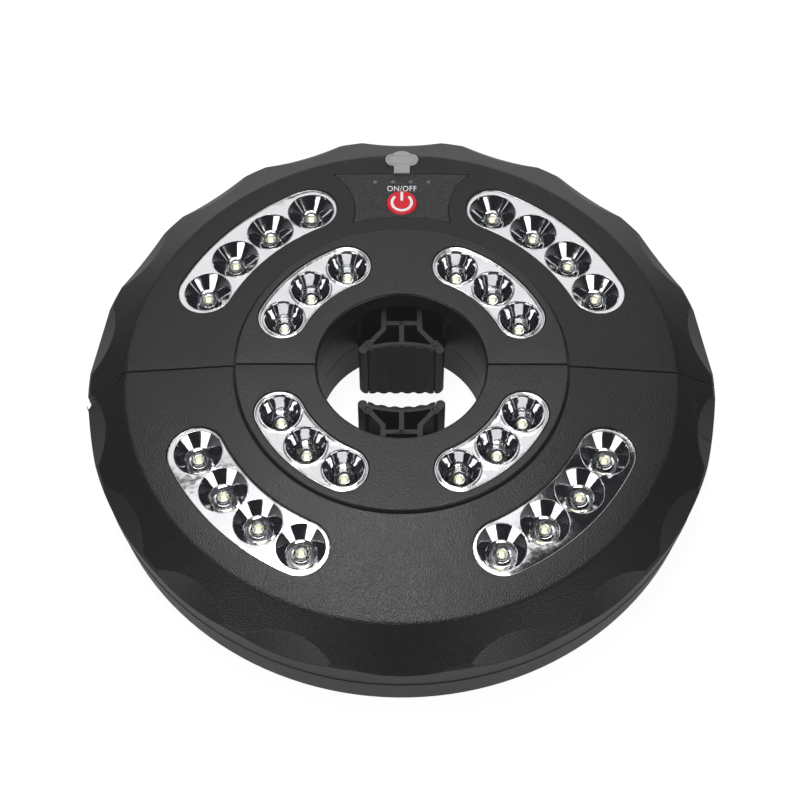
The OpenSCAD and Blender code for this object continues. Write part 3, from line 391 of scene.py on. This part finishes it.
# name: dark and light tone, roughness where clean and where smeared, grains a metre, depth of the
# grain in metres, values of the shader itself
MOULDED = {
    "black_abs": (
        (0.009, 0.009, 0.0092), (0.023, 0.023, 0.0235), (0.33, 0.27), 2400, 0.00014, VEIL),
    "panel_overlay": (
        (0.012, 0.012, 0.0125), (0.036, 0.036, 0.037), (0.38, 0.32), 1300, 0.0006, VEIL),
    "jaw_plastic": (
        (0.011, 0.011, 0.0115), (0.024, 0.024, 0.025), (0.45, 0.36), 1800, 0.00008, VEIL),
    "pad_rubber": (
        (0.011, 0.011, 0.011), (0.024, 0.024, 0.025), (0.5, 0.42), 2200, 0.00006, DULL | VEIL),
    "switch_black": (
        (0.012, 0.012, 0.013), (0.03, 0.03, 0.032), (0.45, 0.35), 1500, 0.00004, PLAIN),
    "red_button": (
        (0.8, 0.015, 0.03), (0.9, 0.035, 0.055), (0.34, 0.26), 2500, 0.00002, DULL | RED_GLOW),
    "port_silicone": (
        (0.52, 0.53, 0.535), (0.68, 0.69, 0.7), (0.62, 0.52), 2200, 0.00005, PLAIN),
    "indicator_lens": (
        (0.16, 0.16, 0.165), (0.3, 0.3, 0.31), (0.5, 0.4), 2500, 0.00003, PLAIN),
    "white_print": (
        (0.82, 0.82, 0.82), (0.93, 0.93, 0.93), (0.5, 0.4), 5000, 0.00001, WHITE_GLOW),
    "phosphor": (
        (0.9, 0.86, 0.5), (0.97, 0.95, 0.7), (0.5, 0.4), 6000, 0.00002, WARM_GLOW),
    "led_board_white": (
        (0.7, 0.71, 0.68), (0.8, 0.81, 0.79), (0.4, 0.3), 900, 0.00002, PLAIN),
    "control_board_green": (
        (0.015, 0.12, 0.04), (0.04, 0.2, 0.08), (0.35, 0.25), 900, 0.00002, PLAIN),
    "cell_wrap": (
        (0.02, 0.16, 0.36), (0.04, 0.24, 0.48), (0.3, 0.2), 400, 0.00003, PLAIN),
    "lead_insulation": (
        (0.25, 0.02, 0.02), (0.35, 0.04, 0.04), (0.45, 0.35), 900, 0.00003, PLAIN),
}
finishes = {name: moulded(name, *values) for name, values in MOULDED.items()}
print("moulded finishes:", len(finishes))

# %% [markdown]
# ## Bright and clear finishes
#
# The reflector trays are plastic with a film of metal from a vacuum chamber. The film is a mirror,
# but the plastic under it is never quite flat, so reflections in it sway, and in the inner trays
# more than in the outer ones. The bulbs are water-clear epoxy. Springs, screws and lead frames are
# drawn or plated steel, whose fine streaks run one way.

# %% Metallised plastic
CHROME_DARK, CHROME_LIGHT = (0.86, 0.87, 0.89), (0.95, 0.95, 0.96)
CHROME_ROUGHNESS = (0.05, 0.1)
CHROME_SMEARS = 120.0
CHROME_WAVE = {"Scale": 160.0, "Detail": 2.0}

# name: strength of the wave and its depth in metres
CHROMES = {"chrome": (0.25, 0.0002), "wavy_chrome": (0.6, 0.0004)}


def chrome_finish(name, wave_strength, wave_depth):
    """Vacuum-metallised plastic: a mirror with an orange-peel wave and fine haze."""
    material, tree, shader = new_material(name, Metallic=1.0)
    smears = placed_group(tree, SMEARS, CHROME_SMEARS)
    tone = mix_colours(tree, smears.outputs["Mask"], CHROME_DARK, CHROME_LIGHT)
    link(tree, tone, shader, "Base Color")
    link(tree, rescale(tree, smears.outputs["Mask"], *CHROME_ROUGHNESS), shader, "Roughness")
    wave = object_pattern(tree, "ShaderNodeTexNoise", **CHROME_WAVE)
    add_bump(tree, shader, wave.outputs["Fac"], wave_strength, wave_depth)
    return material


for name, values in CHROMES.items():
    finishes[name] = chrome_finish(name, *values)
print("chromes:", ", ".join(CHROMES))

# %% Epoxy and steel
EPOXY = {"Base_Color": (0.98, 0.99, 1.0, 1), "Transmission_Weight": 1.0, "IOR": 1.5}
EPOXY_HAZE = {"Scale": 400.0, "Detail": 2.0}
EPOXY_ROUGHNESS = (0.0, 0.05)
STREAKS, STREAK_STRETCH = 900.0, (1, 1, 12)

# name: dark and light tone, roughness from and to
STEELS = {
    "led_frame": ((0.6, 0.6, 0.58), (0.8, 0.8, 0.78), (0.2, 0.35)),
    "spring_steel": ((0.5, 0.5, 0.52), (0.7, 0.7, 0.72), (0.22, 0.36)),
    "steel": ((0.45, 0.46, 0.48), (0.66, 0.67, 0.69), (0.3, 0.45)),
}


def epoxy_finish():
    """Water-clear epoxy of a diode's bulb."""
    material, tree, shader = new_material("clear_epoxy", **EPOXY)
    haze = object_pattern(tree, "ShaderNodeTexNoise", **EPOXY_HAZE)
    link(tree, rescale(tree, haze.outputs["Fac"], *EPOXY_ROUGHNESS), shader, "Roughness")
    return material


def steel_finish(name, dark, light, roughness):
    """Drawn or plated steel, with streaks along its drawing."""
    material, tree, shader = new_material(name, Metallic=1.0)
    coordinate = tree.nodes.new("ShaderNodeTexCoord")
    mapping = tree.nodes.new("ShaderNodeMapping")
    mapping.inputs["Scale"].default_value = STREAK_STRETCH
    streaks = tree.nodes.new("ShaderNodeTexNoise")
    streaks.inputs["Scale"].default_value = STREAKS
    link(tree, coordinate.outputs["Object"], mapping, "Vector")
    link(tree, mapping.outputs["Vector"], streaks, "Vector")
    link(tree, mix_colours(tree, streaks.outputs["Fac"], dark, light), shader, "Base Color")
    link(tree, rescale(tree, streaks.outputs["Fac"], *roughness), shader, "Roughness")
    return material


finishes["clear_epoxy"] = epoxy_finish()
for name, values in STEELS.items():
    finishes[name] = steel_finish(name, *values)
print("finishes:", len(finishes))

# %% Dress every CAD node in its slot's finish
for part in subparts:
    node_mesh = frame["nodes"][part["node"]].data
    node_mesh.materials.clear()
    node_mesh.materials.append(finishes[part["material_slot"]])
print("nodes dressed:", len(subparts))

# %% [markdown]
# ## Soft edges
#
# No moulded edge is a knife edge: each one has a small radius that catches a line of light, and
# without it the light looks computed. The CAD solids have sharp edges, so every visible one is
# copied, the doubles of its loose triangles are merged, and each real edge gets a bevel of a
# fraction of a millimetre. The copy stands for the CAD node, which stays for collision. The
# dishes of the scalloped rim meet the bevel at a shallow angle, so edges out there count as real
# from a smaller angle on.

# %% Helpers that make pieces
JOIN_DISTANCE = 0.002 * MM
SLOT_OF_NODE = {part["node"]: part["material_slot"] for part in subparts}
BODY_OF_NODE = {node: body
                for body, nodes in frame["record"]["behaviour"]["bodies"].items()
                for node in nodes}


def make_piece(name, bm, slot, finish=None):
    """Makes an object of a bmesh in its slot's finish, or in another that is named."""
    mesh = bpy.data.meshes.new(name)
    bm.to_mesh(mesh)
    bm.free()
    mesh.materials.append(finishes[finish or slot])
    piece = bpy.data.objects.new(name, mesh)
    scene.collection.objects.link(piece)
    return piece


def place_piece(name, bm, body, slot, finish=None):
    """Makes a piece and lets it ride on a body."""
    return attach(make_piece(name, bm, slot, finish), body)


def weigh_normals(piece):
    """Lets the large faces of a bevelled piece decide its shading."""
    piece.data.shade_smooth()
    weigh = piece.modifiers.new("weigh_normals", "WEIGHTED_NORMAL")
    weigh.mode = "FACE_AREA_WITH_ANGLE"


def shade_afresh(piece):
    """Drops the normals that came with a CAD node, and shades the piece by its own faces."""
    if "custom_normal" in piece.data.attributes:
        piece.data.attributes.remove(piece.data.attributes["custom_normal"])
    weigh_normals(piece)


def report(piece):
    """Prints how many faces a piece has."""
    print(piece.name, len(piece.data.polygons), "faces")


# %% A copy of a CAD node with soft edges
EDGE_ANGLE, DISH_EDGE_ANGLE = math.radians(25), math.radians(9)
DISH_ZONE_R = 93.5
DISH_FACES_UP = 0.1


def copy_of_node(node):
    """A bmesh of a CAD node with the doubles of its loose triangles merged."""
    bm = bmesh.new()
    bm.from_mesh(frame["nodes"][node].data)
    for layer in list(bm.loops.layers.uv):
        bm.loops.layers.uv.remove(layer)
    bmesh.ops.remove_doubles(bm, verts=bm.verts, dist=JOIN_DISTANCE)
    return bm


def bevel_edges(bm, edges, width, segments=2):
    """Rounds edges by a width in millimetres."""
    bmesh.ops.bevel(bm, geom=edges, offset=width * MM, offset_type="OFFSET", affect="EDGES",
                    segments=segments, profile=0.5, material=-1, clamp_overlap=False,
                    loop_slide=True)


def is_real(edge):
    """Whether an edge is a sharp one of the moulding, or the shallow outline of a rim dish."""
    if not edge.is_manifold:
        return False
    angle = edge.calc_face_angle(0)
    in_dish_zone = min(vert.co.xy.length for vert in edge.verts) > DISH_ZONE_R * MM
    faces_up = min(face.normal.z for face in edge.link_faces) > DISH_FACES_UP
    return angle > EDGE_ANGLE or (angle > DISH_EDGE_ANGLE and in_dish_zone and faces_up)


def soften(node, width, finish=None):
    """Replaces a CAD node by a copy whose real edges are rounded by a width."""
    bm = copy_of_node(node)
    bevel_edges(bm, [edge for edge in bm.edges if is_real(edge)], width)
    piece = place_piece(node + "_soft", bm, BODY_OF_NODE[node], SLOT_OF_NODE[node], finish)
    shade_afresh(piece)
    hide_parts(node)
    return piece


# %% Soften the shells and everything that shows


def reflectors(ring):
    """The names of the four reflectors in a ring."""
    return [f"{half}_{ring}_reflector_{side}"
            for half in ("main", "swing") for side in ("left", "right")]


# width of the soft edge in millimetres, the nodes that have it, and their finish if not the slot's
SOFT_EDGES = [
    (0.22, ["main_face_cover", "swing_face_cover", "main_back_cover", "swing_back_cover"], None),
    (0.16, ["latch_button", "main_hook", "swing_hook"], None),
    (0.09, ["main_jaw", "swing_jaw", "main_jaw_pad", "swing_jaw_pad"], None),
    (0.09, ["port_cover", "port_cover_strap"], None),
    (0.10, reflectors("outer"), None),
    (0.28, reflectors("inner"), "wavy_chrome"),
    (0.05, ["control_panel"], None),
]
for width, nodes, finish in SOFT_EDGES:
    for node in nodes:
        report(soften(node, width, finish))

# %% [markdown]
# ## Springs
#
# A coil spring is held at one end and pushed at the other. Each one is copied, shaded by its own
# faces and baked where it lies, and its CAD node is hidden; the copy rides on no body and does not
# shorten as the jaw or the latch moves.

# %% Springs that shorten
# node, the part that pushes it, and the way from the pushed end to the held one
SPRINGS = [("main_jaw_springs", "main_jaw", Vector((0, 1, 0))),
           ("swing_jaw_springs", "swing_jaw", Vector((0, -1, 0))),
           ("latch_spring", "latch_button", Vector((-1, 0, 0)))]
for node, pusher, away in SPRINGS:
    coil = make_piece(node + "_coil", copy_of_node(node), SLOT_OF_NODE[node])
    shade_afresh(coil)
    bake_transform(coil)
    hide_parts(node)
    report(coil)

# %% [markdown]
# ## The bulbs
#
# Twenty-eight 5 mm diodes stand in the cups. A real one is a solid casting of clear epoxy: a
# flange, a short barrel and a round dome, which magnifies the chip underneath. It is a body of
# revolution, so half its outline is drawn once and spun, and the finished bulb is stamped at
# every place.

# %% Helpers for turned pieces and repeated ones


def quarter_turn(steps):
    """Angles from nought to a right angle, in equal steps."""
    return [math.pi / 2 * step / steps for step in range(steps + 1)]


def revolve(outline, steps):
    """Spins an outline of (radius, height) points in millimetres about Z into a closed form."""
    bm = bmesh.new()
    verts = [bm.verts.new((radius * MM, 0.0, height * MM)) for radius, height in outline]
    for first, second in zip(verts, verts[1:]):
        bm.edges.new((first, second))
    bmesh.ops.spin(bm, geom=bm.verts[:] + bm.edges[:], axis=(0, 0, 1), cent=(0, 0, 0),
                   angle=2 * math.pi, steps=steps, use_merge=True)
    bmesh.ops.remove_doubles(bm, verts=bm.verts, dist=JOIN_DISTANCE)
    bmesh.ops.recalc_face_normals(bm, faces=bm.faces)
    return bm


def shift(x, y, z=0):
    """A move in millimetres, as a matrix."""
    return Matrix.Translation(Vector((x, y, z)) * MM)


def stamp(target, source, places):
    """Adds a copy of one bmesh to another at each of several matrices."""
    pattern = bpy.data.meshes.new("pattern")
    source.to_mesh(pattern)
    source.free()
    for place in places:
        copy = pattern.copy()
        copy.transform(place)
        if place.determinant() < 0:
            copy.flip_normals()
        target.from_mesh(copy)
        bpy.data.meshes.remove(copy)
    bpy.data.meshes.remove(pattern)


# %% Where the bulbs stand
QUADRANT = 45.0
FOUR_IN_A_ROW, THREE_IN_A_ROW = (-1.5, -0.5, 0.5, 1.5), (-1, 0, 1)
OUTER_RING_R, OUTER_PITCH, OUTER_BULB_Z = 75.0, 12.87, 28.8
INNER_RING_R, INNER_PITCH, INNER_BULB_Z = 44.7, 19.8, 29.8

# name, body, and the side of the parting line on which it lies
HALVES = [("main", "main", 1), ("swing", "swing_half", -1)]


def bulb_places(half):
    """Where the bulbs of one half stand: +1 is the main half and -1 the swing half."""
    rows = [(OUTER_RING_R, OUTER_BULB_Z, OUTER_PITCH, FOUR_IN_A_ROW),
            (INNER_RING_R, INNER_BULB_Z, INNER_PITCH, THREE_IN_A_ROW)]
    places = []
    for side in (1, -1):
        for ring_r, height, pitch, row in rows:
            for step in row:
                turn = math.radians(QUADRANT + step * pitch)
                x, y = ring_r * math.cos(turn), ring_r * math.sin(turn)
                places.append(shift(side * x, half * y, height))
    return places


print("bulbs in each half:", len(bulb_places(1)))

# %% Bulbs with their flanges
BULB_R, FLANGE_R, FLANGE_H, BARREL_H = 2.5, 2.9, 1.0, 3.2
FOOT_GAP = 0.02
FLANGE_EDGE, FLANGE_EDGE_H = 0.12, 0.15
NECK_FILLET, NECK_FILLET_H = 0.08, 0.1
BULB_STEPS, DOME_STEPS = 32, 9


def bulb_outline():
    """Half the outline of a bulb, from its foot round the flange and over the dome."""
    foot = [(0, FOOT_GAP), (FLANGE_R - FLANGE_EDGE, FOOT_GAP), (FLANGE_R, FOOT_GAP + FLANGE_EDGE)]
    flange = [(FLANGE_R, FLANGE_H - FLANGE_EDGE_H), (FLANGE_R - FLANGE_EDGE, FLANGE_H),
              (BULB_R + NECK_FILLET, FLANGE_H), (BULB_R, FLANGE_H + NECK_FILLET_H)]
    dome = [(BULB_R * math.cos(turn), BARREL_H + BULB_R * math.sin(turn))
            for turn in quarter_turn(DOME_STEPS)]
    return foot + flange + dome


for half_name, body, half in HALVES:
    bm = bmesh.new()
    stamp(bm, revolve(bulb_outline(), BULB_STEPS), bulb_places(half))
    bulbs = place_piece(half_name + "_bulbs", bm, body, "clear_epoxy")
    bulbs.data.shade_smooth()
    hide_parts(half_name + "_led_lenses")
    report(bulbs)

# %% [markdown]
# ## Chips
#
# Under each dome a pale yellow square of phosphor covers the chip. It lies in the dish of the lead
# frame. The dome shows it at about twice its size, so it gives each cup its bright centre.

# %% Phosphor squares
CHIP_TOP, PHOSPHOR_SINK = 2.8, 0.1
PHOSPHOR_SIDE, PHOSPHOR_T, PHOSPHOR_EDGE = 0.9, 0.42, 0.1


def block(width, length, height, middle_y, middle_z):
    """A box in millimetres, with its middle at x = 0 and at a given y and height."""
    bm = bmesh.new()
    bmesh.ops.create_cube(bm, size=1.0)
    bmesh.ops.scale(bm, vec=(width * MM, length * MM, height * MM), verts=bm.verts)
    bmesh.ops.translate(bm, vec=(0, middle_y * MM, middle_z * MM), verts=bm.verts)
    return bm


for half_name, body, half in HALVES:
    square = block(PHOSPHOR_SIDE, PHOSPHOR_SIDE, PHOSPHOR_T, 0, CHIP_TOP - PHOSPHOR_SINK)
    bevel_edges(square, square.edges[:], PHOSPHOR_EDGE)
    bm = bmesh.new()
    stamp(bm, square, bulb_places(half))
    squares = place_piece(half_name + "_phosphor", bm, body, "led_frame", "phosphor")
    weigh_normals(squares)
    report(squares)

# %% [markdown]
# ## What lies on the sloping face
#
# The outer face falls gently towards the rim. Beads, lips and print follow it, so each is drawn
# flat at its place in the plan, made a mesh, and then every point is lifted to the height of the
# face below it.

# %% The height of the face
INNER_FACE_R, SHOULDER_R, RIM_R = 56.5, 94.0, 107.8
OUTER_FACE_Z, SHOULDER_Z, RIM_Z = 39.3, 35.2, 27.0
FACE_SLOPE = (OUTER_FACE_Z - SHOULDER_Z) / (SHOULDER_R - INNER_FACE_R)
BEVEL_SLOPE = (SHOULDER_Z - RIM_Z) / (RIM_R - SHOULDER_R)


def face_height(radius):
    """Height of the outer skin in millimetres at a distance from the pole's axis."""
    if radius <= SHOULDER_R:
        return OUTER_FACE_Z - FACE_SLOPE * (radius - INNER_FACE_R)
    return SHOULDER_Z - BEVEL_SLOPE * (radius - SHOULDER_R)


def drape(bm, lift):
    """Raises every point by the height of the face under it, and by a lift in millimetres."""
    for vert in bm.verts:
        radius = math.hypot(vert.co.x, vert.co.y) / MM
        vert.co.z += (face_height(radius) + lift) * MM


print("slope of the face in degrees:", round(math.degrees(math.atan(FACE_SLOPE)), 1))

# %% Round beads and print
BEAD_RESOLUTION = 2


def mesh_of_curve(curve):
    """The mesh that a text or curve draws, as a bmesh, with the curve removed."""
    holder = bpy.data.objects.new("holder", curve)
    scene.collection.objects.link(holder)
    bpy.context.view_layer.update()
    drawn = holder.evaluated_get(bpy.context.evaluated_depsgraph_get())
    mesh = bpy.data.meshes.new_from_object(drawn)
    bm = bmesh.new()
    bm.from_mesh(mesh)
    bmesh.ops.remove_doubles(bm, verts=bm.verts, dist=JOIN_DISTANCE)
    bpy.data.objects.remove(holder)
    bpy.data.meshes.remove(mesh)
    bpy.data.curves.remove(curve)
    return bm


def wire_ring(points, radius):
    """A closed round bead along plan points in millimetres, as a bmesh."""
    curve = bpy.data.curves.new("bead", "CURVE")
    curve.dimensions = "3D"
    curve.bevel_depth = radius * MM
    curve.bevel_resolution = BEAD_RESOLUTION
    spline = curve.splines.new("POLY")
    spline.points.add(len(points) - 1)
    for target, (x, y) in zip(spline.points, points):
        target.co = (x * MM, y * MM, 0, 1)
    spline.use_cyclic_u = True
    return mesh_of_curve(curve)


def polar(centre, radius, degrees):
    """The plan point at a radius and a heading from a centre."""
    turn = math.radians(degrees)
    return centre[0] + radius * math.cos(turn), centre[1] + radius * math.sin(turn)


def arc(centre, radius, start, end, steps):
    """Plan points of an arc, from one heading to another in degrees."""
    return [polar(centre, radius, start + (end - start) * step / steps)
            for step in range(steps + 1)]


# %% [markdown]
# ## Lips of the outer trays
#
# The lip round each outer tray and the rim of each cup catch the light as thin bright lines. A
# round bead along each of them does the same. A cup leans a little less than the tray in which it
# opens, so its rim reaches further from its middle on the uphill side.

# %% A bead round each outer tray and each of its cups
POLE_AXIS = (0, 0)
TRAY_DROP = 0.9
TRAY_MID_R, TRAY_HALF_W, TRAY_HALF_ANGLE = 75.6, 9.9, 1.5 * OUTER_PITCH
FAR_SIDE_STEPS, NEAR_SIDE_STEPS, ROUND_END_STEPS = 28, 24, 18
TRAY_LIP_INSET, TRAY_LIP_R = 0.4, 0.18
CUP_R, CUP_UPHILL_SHARE = 8.17, 0.027
CUP_LIP_OFFSET, CUP_LIP_R, CUP_LIP_STEP = 0.12, 0.108, 9


def tray_outline(half_w):
    """A slot bent about the pole's axis, with round ends, centred on the first quadrant."""
    first, last = QUADRANT - TRAY_HALF_ANGLE, QUADRANT + TRAY_HALF_ANGLE
    start, end = polar(POLE_AXIS, TRAY_MID_R, first), polar(POLE_AXIS, TRAY_MID_R, last)
    points = arc(POLE_AXIS, TRAY_MID_R + half_w, first, last, FAR_SIDE_STEPS)
    points += arc(end, half_w, last, last + 180, ROUND_END_STEPS)[1:]
    points += arc(POLE_AXIS, TRAY_MID_R - half_w, last, first, NEAR_SIDE_STEPS)[1:]
    points += arc(start, half_w, first + 180, first + 360, ROUND_END_STEPS)[1:-1]
    return points


def cup_outline(heading):
    """The rim of the outer cup that stands at a heading, a little outside its edge."""
    centre = polar(POLE_AXIS, OUTER_RING_R, heading)
    points = []
    for turn in range(0, 360, CUP_LIP_STEP):
        edge_r = CUP_R / (1 + CUP_UPHILL_SHARE * math.cos(math.radians(turn)))
        points.append(polar(centre, edge_r + CUP_LIP_OFFSET, heading + turn))
    return points


def outer_lips():
    """Beads on one outer tray of the first quadrant."""
    rings = [wire_ring(tray_outline(TRAY_HALF_W - TRAY_LIP_INSET), TRAY_LIP_R)]
    rings += [wire_ring(cup_outline(QUADRANT + step * OUTER_PITCH), CUP_LIP_R)
              for step in FOUR_IN_A_ROW]
    bm = bmesh.new()
    for ring in rings:
        stamp(bm, ring, [Matrix.Identity(4)])
    drape(bm, -TRAY_DROP)
    return bm


for half_name, body, half in HALVES:
    bm = bmesh.new()
    stamp(bm, outer_lips(), [Matrix.Diagonal((side, half, 1, 1)) for side in (1, -1)])
    lips = place_piece(half_name + "_outer_lips", bm, body, "chrome")
    lips.data.shade_smooth()
    report(lips)

# %% [markdown]
# ## The button
#
# The button is a satin red cap with a rounded shoulder and a low crown. It is turned like a bulb,
# from half its outline. The usual power mark is white and stands a hair proud of the crown. Its
# ring is a small rectangle that is spun only part of the way round, so that it stays open for the
# bar.

# %% The button's cap
BUTTON_Y, BUTTON_R, BUTTON_TOP = 70.2, 5.4, 38.25
BUTTON_FLANGE_R, BUTTON_FLANGE_Z, BUTTON_FLANGE_T = 6.3, 33.3, 0.9
STEM_R, STEM_FOOT_Z = 2.4, 32.3
CROWN_H, SHOULDER_ROUND = 0.1, 0.55
SHOULDER_STEPS, CROWN_STEPS, CAP_STEPS = 5, 6, 64


def button_outline():
    """Half the outline of the cap: stem, flange, barrel, rounded shoulder and low crown."""
    flange_top = BUTTON_FLANGE_Z + BUTTON_FLANGE_T
    points = [(0, STEM_FOOT_Z), (STEM_R, STEM_FOOT_Z), (STEM_R, BUTTON_FLANGE_Z),
              (BUTTON_FLANGE_R, BUTTON_FLANGE_Z), (BUTTON_FLANGE_R, flange_top),
              (BUTTON_R, flange_top)]
    crown_r, shoulder_z = BUTTON_R - SHOULDER_ROUND, BUTTON_TOP - CROWN_H - SHOULDER_ROUND
    points += [(BUTTON_R - SHOULDER_ROUND * (1 - math.cos(turn)),
                shoulder_z + SHOULDER_ROUND * math.sin(turn))
               for turn in quarter_turn(SHOULDER_STEPS)]
    for step in range(CROWN_STEPS - 1, -1, -1):
        share = step / CROWN_STEPS
        points.append((crown_r * share, BUTTON_TOP - CROWN_H * share ** 2))
    return points


bm = bmesh.new()
stamp(bm, revolve(button_outline(), CAP_STEPS), [shift(0, BUTTON_Y)])
cap = place_piece("button_cap", bm, "power_key", "red_button")
weigh_normals(cap)
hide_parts("power_button")
report(cap)

# %% The power mark
MARK_R, MARK_W, MARK_CORNER_R = 3.5, 0.95, 0.38
MARK_HALF_GAP, MARK_STEPS, MARK_CORNER_STEPS = 42.0, 48, 4
MARK_BAR = (0.7, 4.75)
MARK_Z = (BUTTON_TOP - 0.25, BUTTON_TOP + 0.01)
UPRIGHT_H = 0.1


def mark_arc():
    """A flat ring that is open at the far side, turned from one small rectangle."""
    bm = bmesh.new()
    inner_r, outer_r = MARK_R - MARK_W / 2, MARK_R + MARK_W / 2
    low, high = MARK_Z
    corners = [(inner_r, low), (outer_r, low), (outer_r, high), (inner_r, high)]
    bm.faces.new([bm.verts.new((radius * MM, 0, height * MM)) for radius, height in corners])
    bmesh.ops.rotate(bm, cent=(0, 0, 0), verts=bm.verts,
                     matrix=Matrix.Rotation(math.radians(90 + MARK_HALF_GAP), 3, "Z"))
    bmesh.ops.spin(bm, geom=bm.verts[:] + bm.edges[:] + bm.faces[:], axis=(0, 0, 1),
                   cent=(0, 0, 0), angle=math.radians(360 - 2 * MARK_HALF_GAP),
                   steps=MARK_STEPS, use_merge=False)
    bmesh.ops.recalc_face_normals(bm, faces=bm.faces)
    return bm


def mark_bar():
    """The short bar from near the middle to the far edge."""
    return block(MARK_W, MARK_BAR[1] - MARK_BAR[0], MARK_Z[1] - MARK_Z[0],
                 sum(MARK_BAR) / 2, sum(MARK_Z) / 2)


def is_upright(edge):
    """Whether an edge is one of a mark's upright corners."""
    rise = abs(edge.verts[0].co.z - edge.verts[1].co.z)
    return rise > UPRIGHT_H * MM and edge.calc_face_angle(0) > EDGE_ANGLE


bm = bmesh.new()
for shape in (mark_arc(), mark_bar()):
    corners = [edge for edge in shape.edges if is_upright(edge)]
    bevel_edges(shape, corners, MARK_CORNER_R, MARK_CORNER_STEPS)
    stamp(bm, shape, [shift(0, BUTTON_Y)])
mark = place_piece("power_mark", bm, "power_key", "red_button", "white_print")
weigh_normals(mark)
report(mark)

# %% [markdown]
# ## The caption
#
# The caption over the button is printed in white. A text in Blender's own font is made a mesh,
# fitted to the box that the words fill in the photograph, given the thickness of ink, and laid on
# the overlay.

# %% The printed caption
CAPTION_BOX = ((-5.25, 76.1), (5.25, 78.7))
LETTER_SPACING = 1.08
PANEL_SINK = 0.12
PRINT_T, PRINT_SINK = 0.05, 0.02


def caption():
    """The words over the button, fitted to their box and laid on the overlay."""
    text = bpy.data.curves.new("caption", "FONT")
    text.body = "ON/OFF"
    text.extrude = PRINT_T
    text.space_character = LETTER_SPACING
    bm = mesh_of_curve(text)
    spans = [(min(vert.co[axis] for vert in bm.verts), max(vert.co[axis] for vert in bm.verts))
             for axis in range(3)]
    fits = [*zip(*CAPTION_BOX), (0, PRINT_T)]
    for vert in bm.verts:
        for axis, ((low, high), (start, end)) in enumerate(zip(spans, fits)):
            share = (vert.co[axis] - low) / (high - low)
            vert.co[axis] = (start + share * (end - start)) * MM
    drape(bm, -PANEL_SINK - PRINT_SINK)
    return bm


report(place_piece("caption", caption(), "main", "panel_overlay", "white_print"))

# %% [markdown]
# ## Charge indicators and port cover
#
# Four light guides show how full the cells are. Each is a rod that ends in a tiny dome, so it
# is turned like a bulb. The grey silicone cover over the charging port has a raised oblong bead,
# which is drawn as two half rings with straight lines between them.

# %% Domes of the charge indicators
INDICATOR_Y, INDICATOR_PITCH, INDICATOR_R = 80.7, 6.4, 0.8
GUIDE_FOOT_Z, GUIDE_RECESS, GUIDE_DOME_H = 29.0, 0.05, 0.22
GUIDE_STEPS, GUIDE_DOME_STEPS = 24, 6


def guide_outline():
    """Half the outline of a light guide: a rod with a low domed end."""
    top = face_height(INDICATOR_Y) - PANEL_SINK - GUIDE_RECESS
    dome = [(INDICATOR_R * math.cos(turn), top + GUIDE_DOME_H * math.sin(turn))
            for turn in quarter_turn(GUIDE_DOME_STEPS)]
    return [(0, GUIDE_FOOT_Z), (INDICATOR_R, GUIDE_FOOT_Z)] + dome


bm = bmesh.new()
stamp(bm, revolve(guide_outline(), GUIDE_STEPS),
      [shift(step * INDICATOR_PITCH, INDICATOR_Y) for step in FOUR_IN_A_ROW])
guides = place_piece("indicator_domes", bm, "main", "indicator_lens")
weigh_normals(guides)
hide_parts("indicator_windows")
report(guides)

# %% The raised bead on the port cover
PORT_Y, PORT_PROUD = 91.6, 0.4
WING_END_X, WING_END_R = 3.0, 3.0
PORT_BEAD_INSET, PORT_BEAD_R, PORT_BEAD_STEPS = 0.85, 0.28, 12

bead_points = []
for side, start in ((1, -90), (-1, 90)):
    bead_points += arc((side * WING_END_X, PORT_Y), WING_END_R - PORT_BEAD_INSET,
                       start, start + 180, PORT_BEAD_STEPS)
bm = wire_ring(bead_points, PORT_BEAD_R)
drape(bm, PORT_PROUD)
bead = place_piece("port_cover_bead", bm, "port_flap", "port_silicone")
bead.data.shade_smooth()
report(bead)
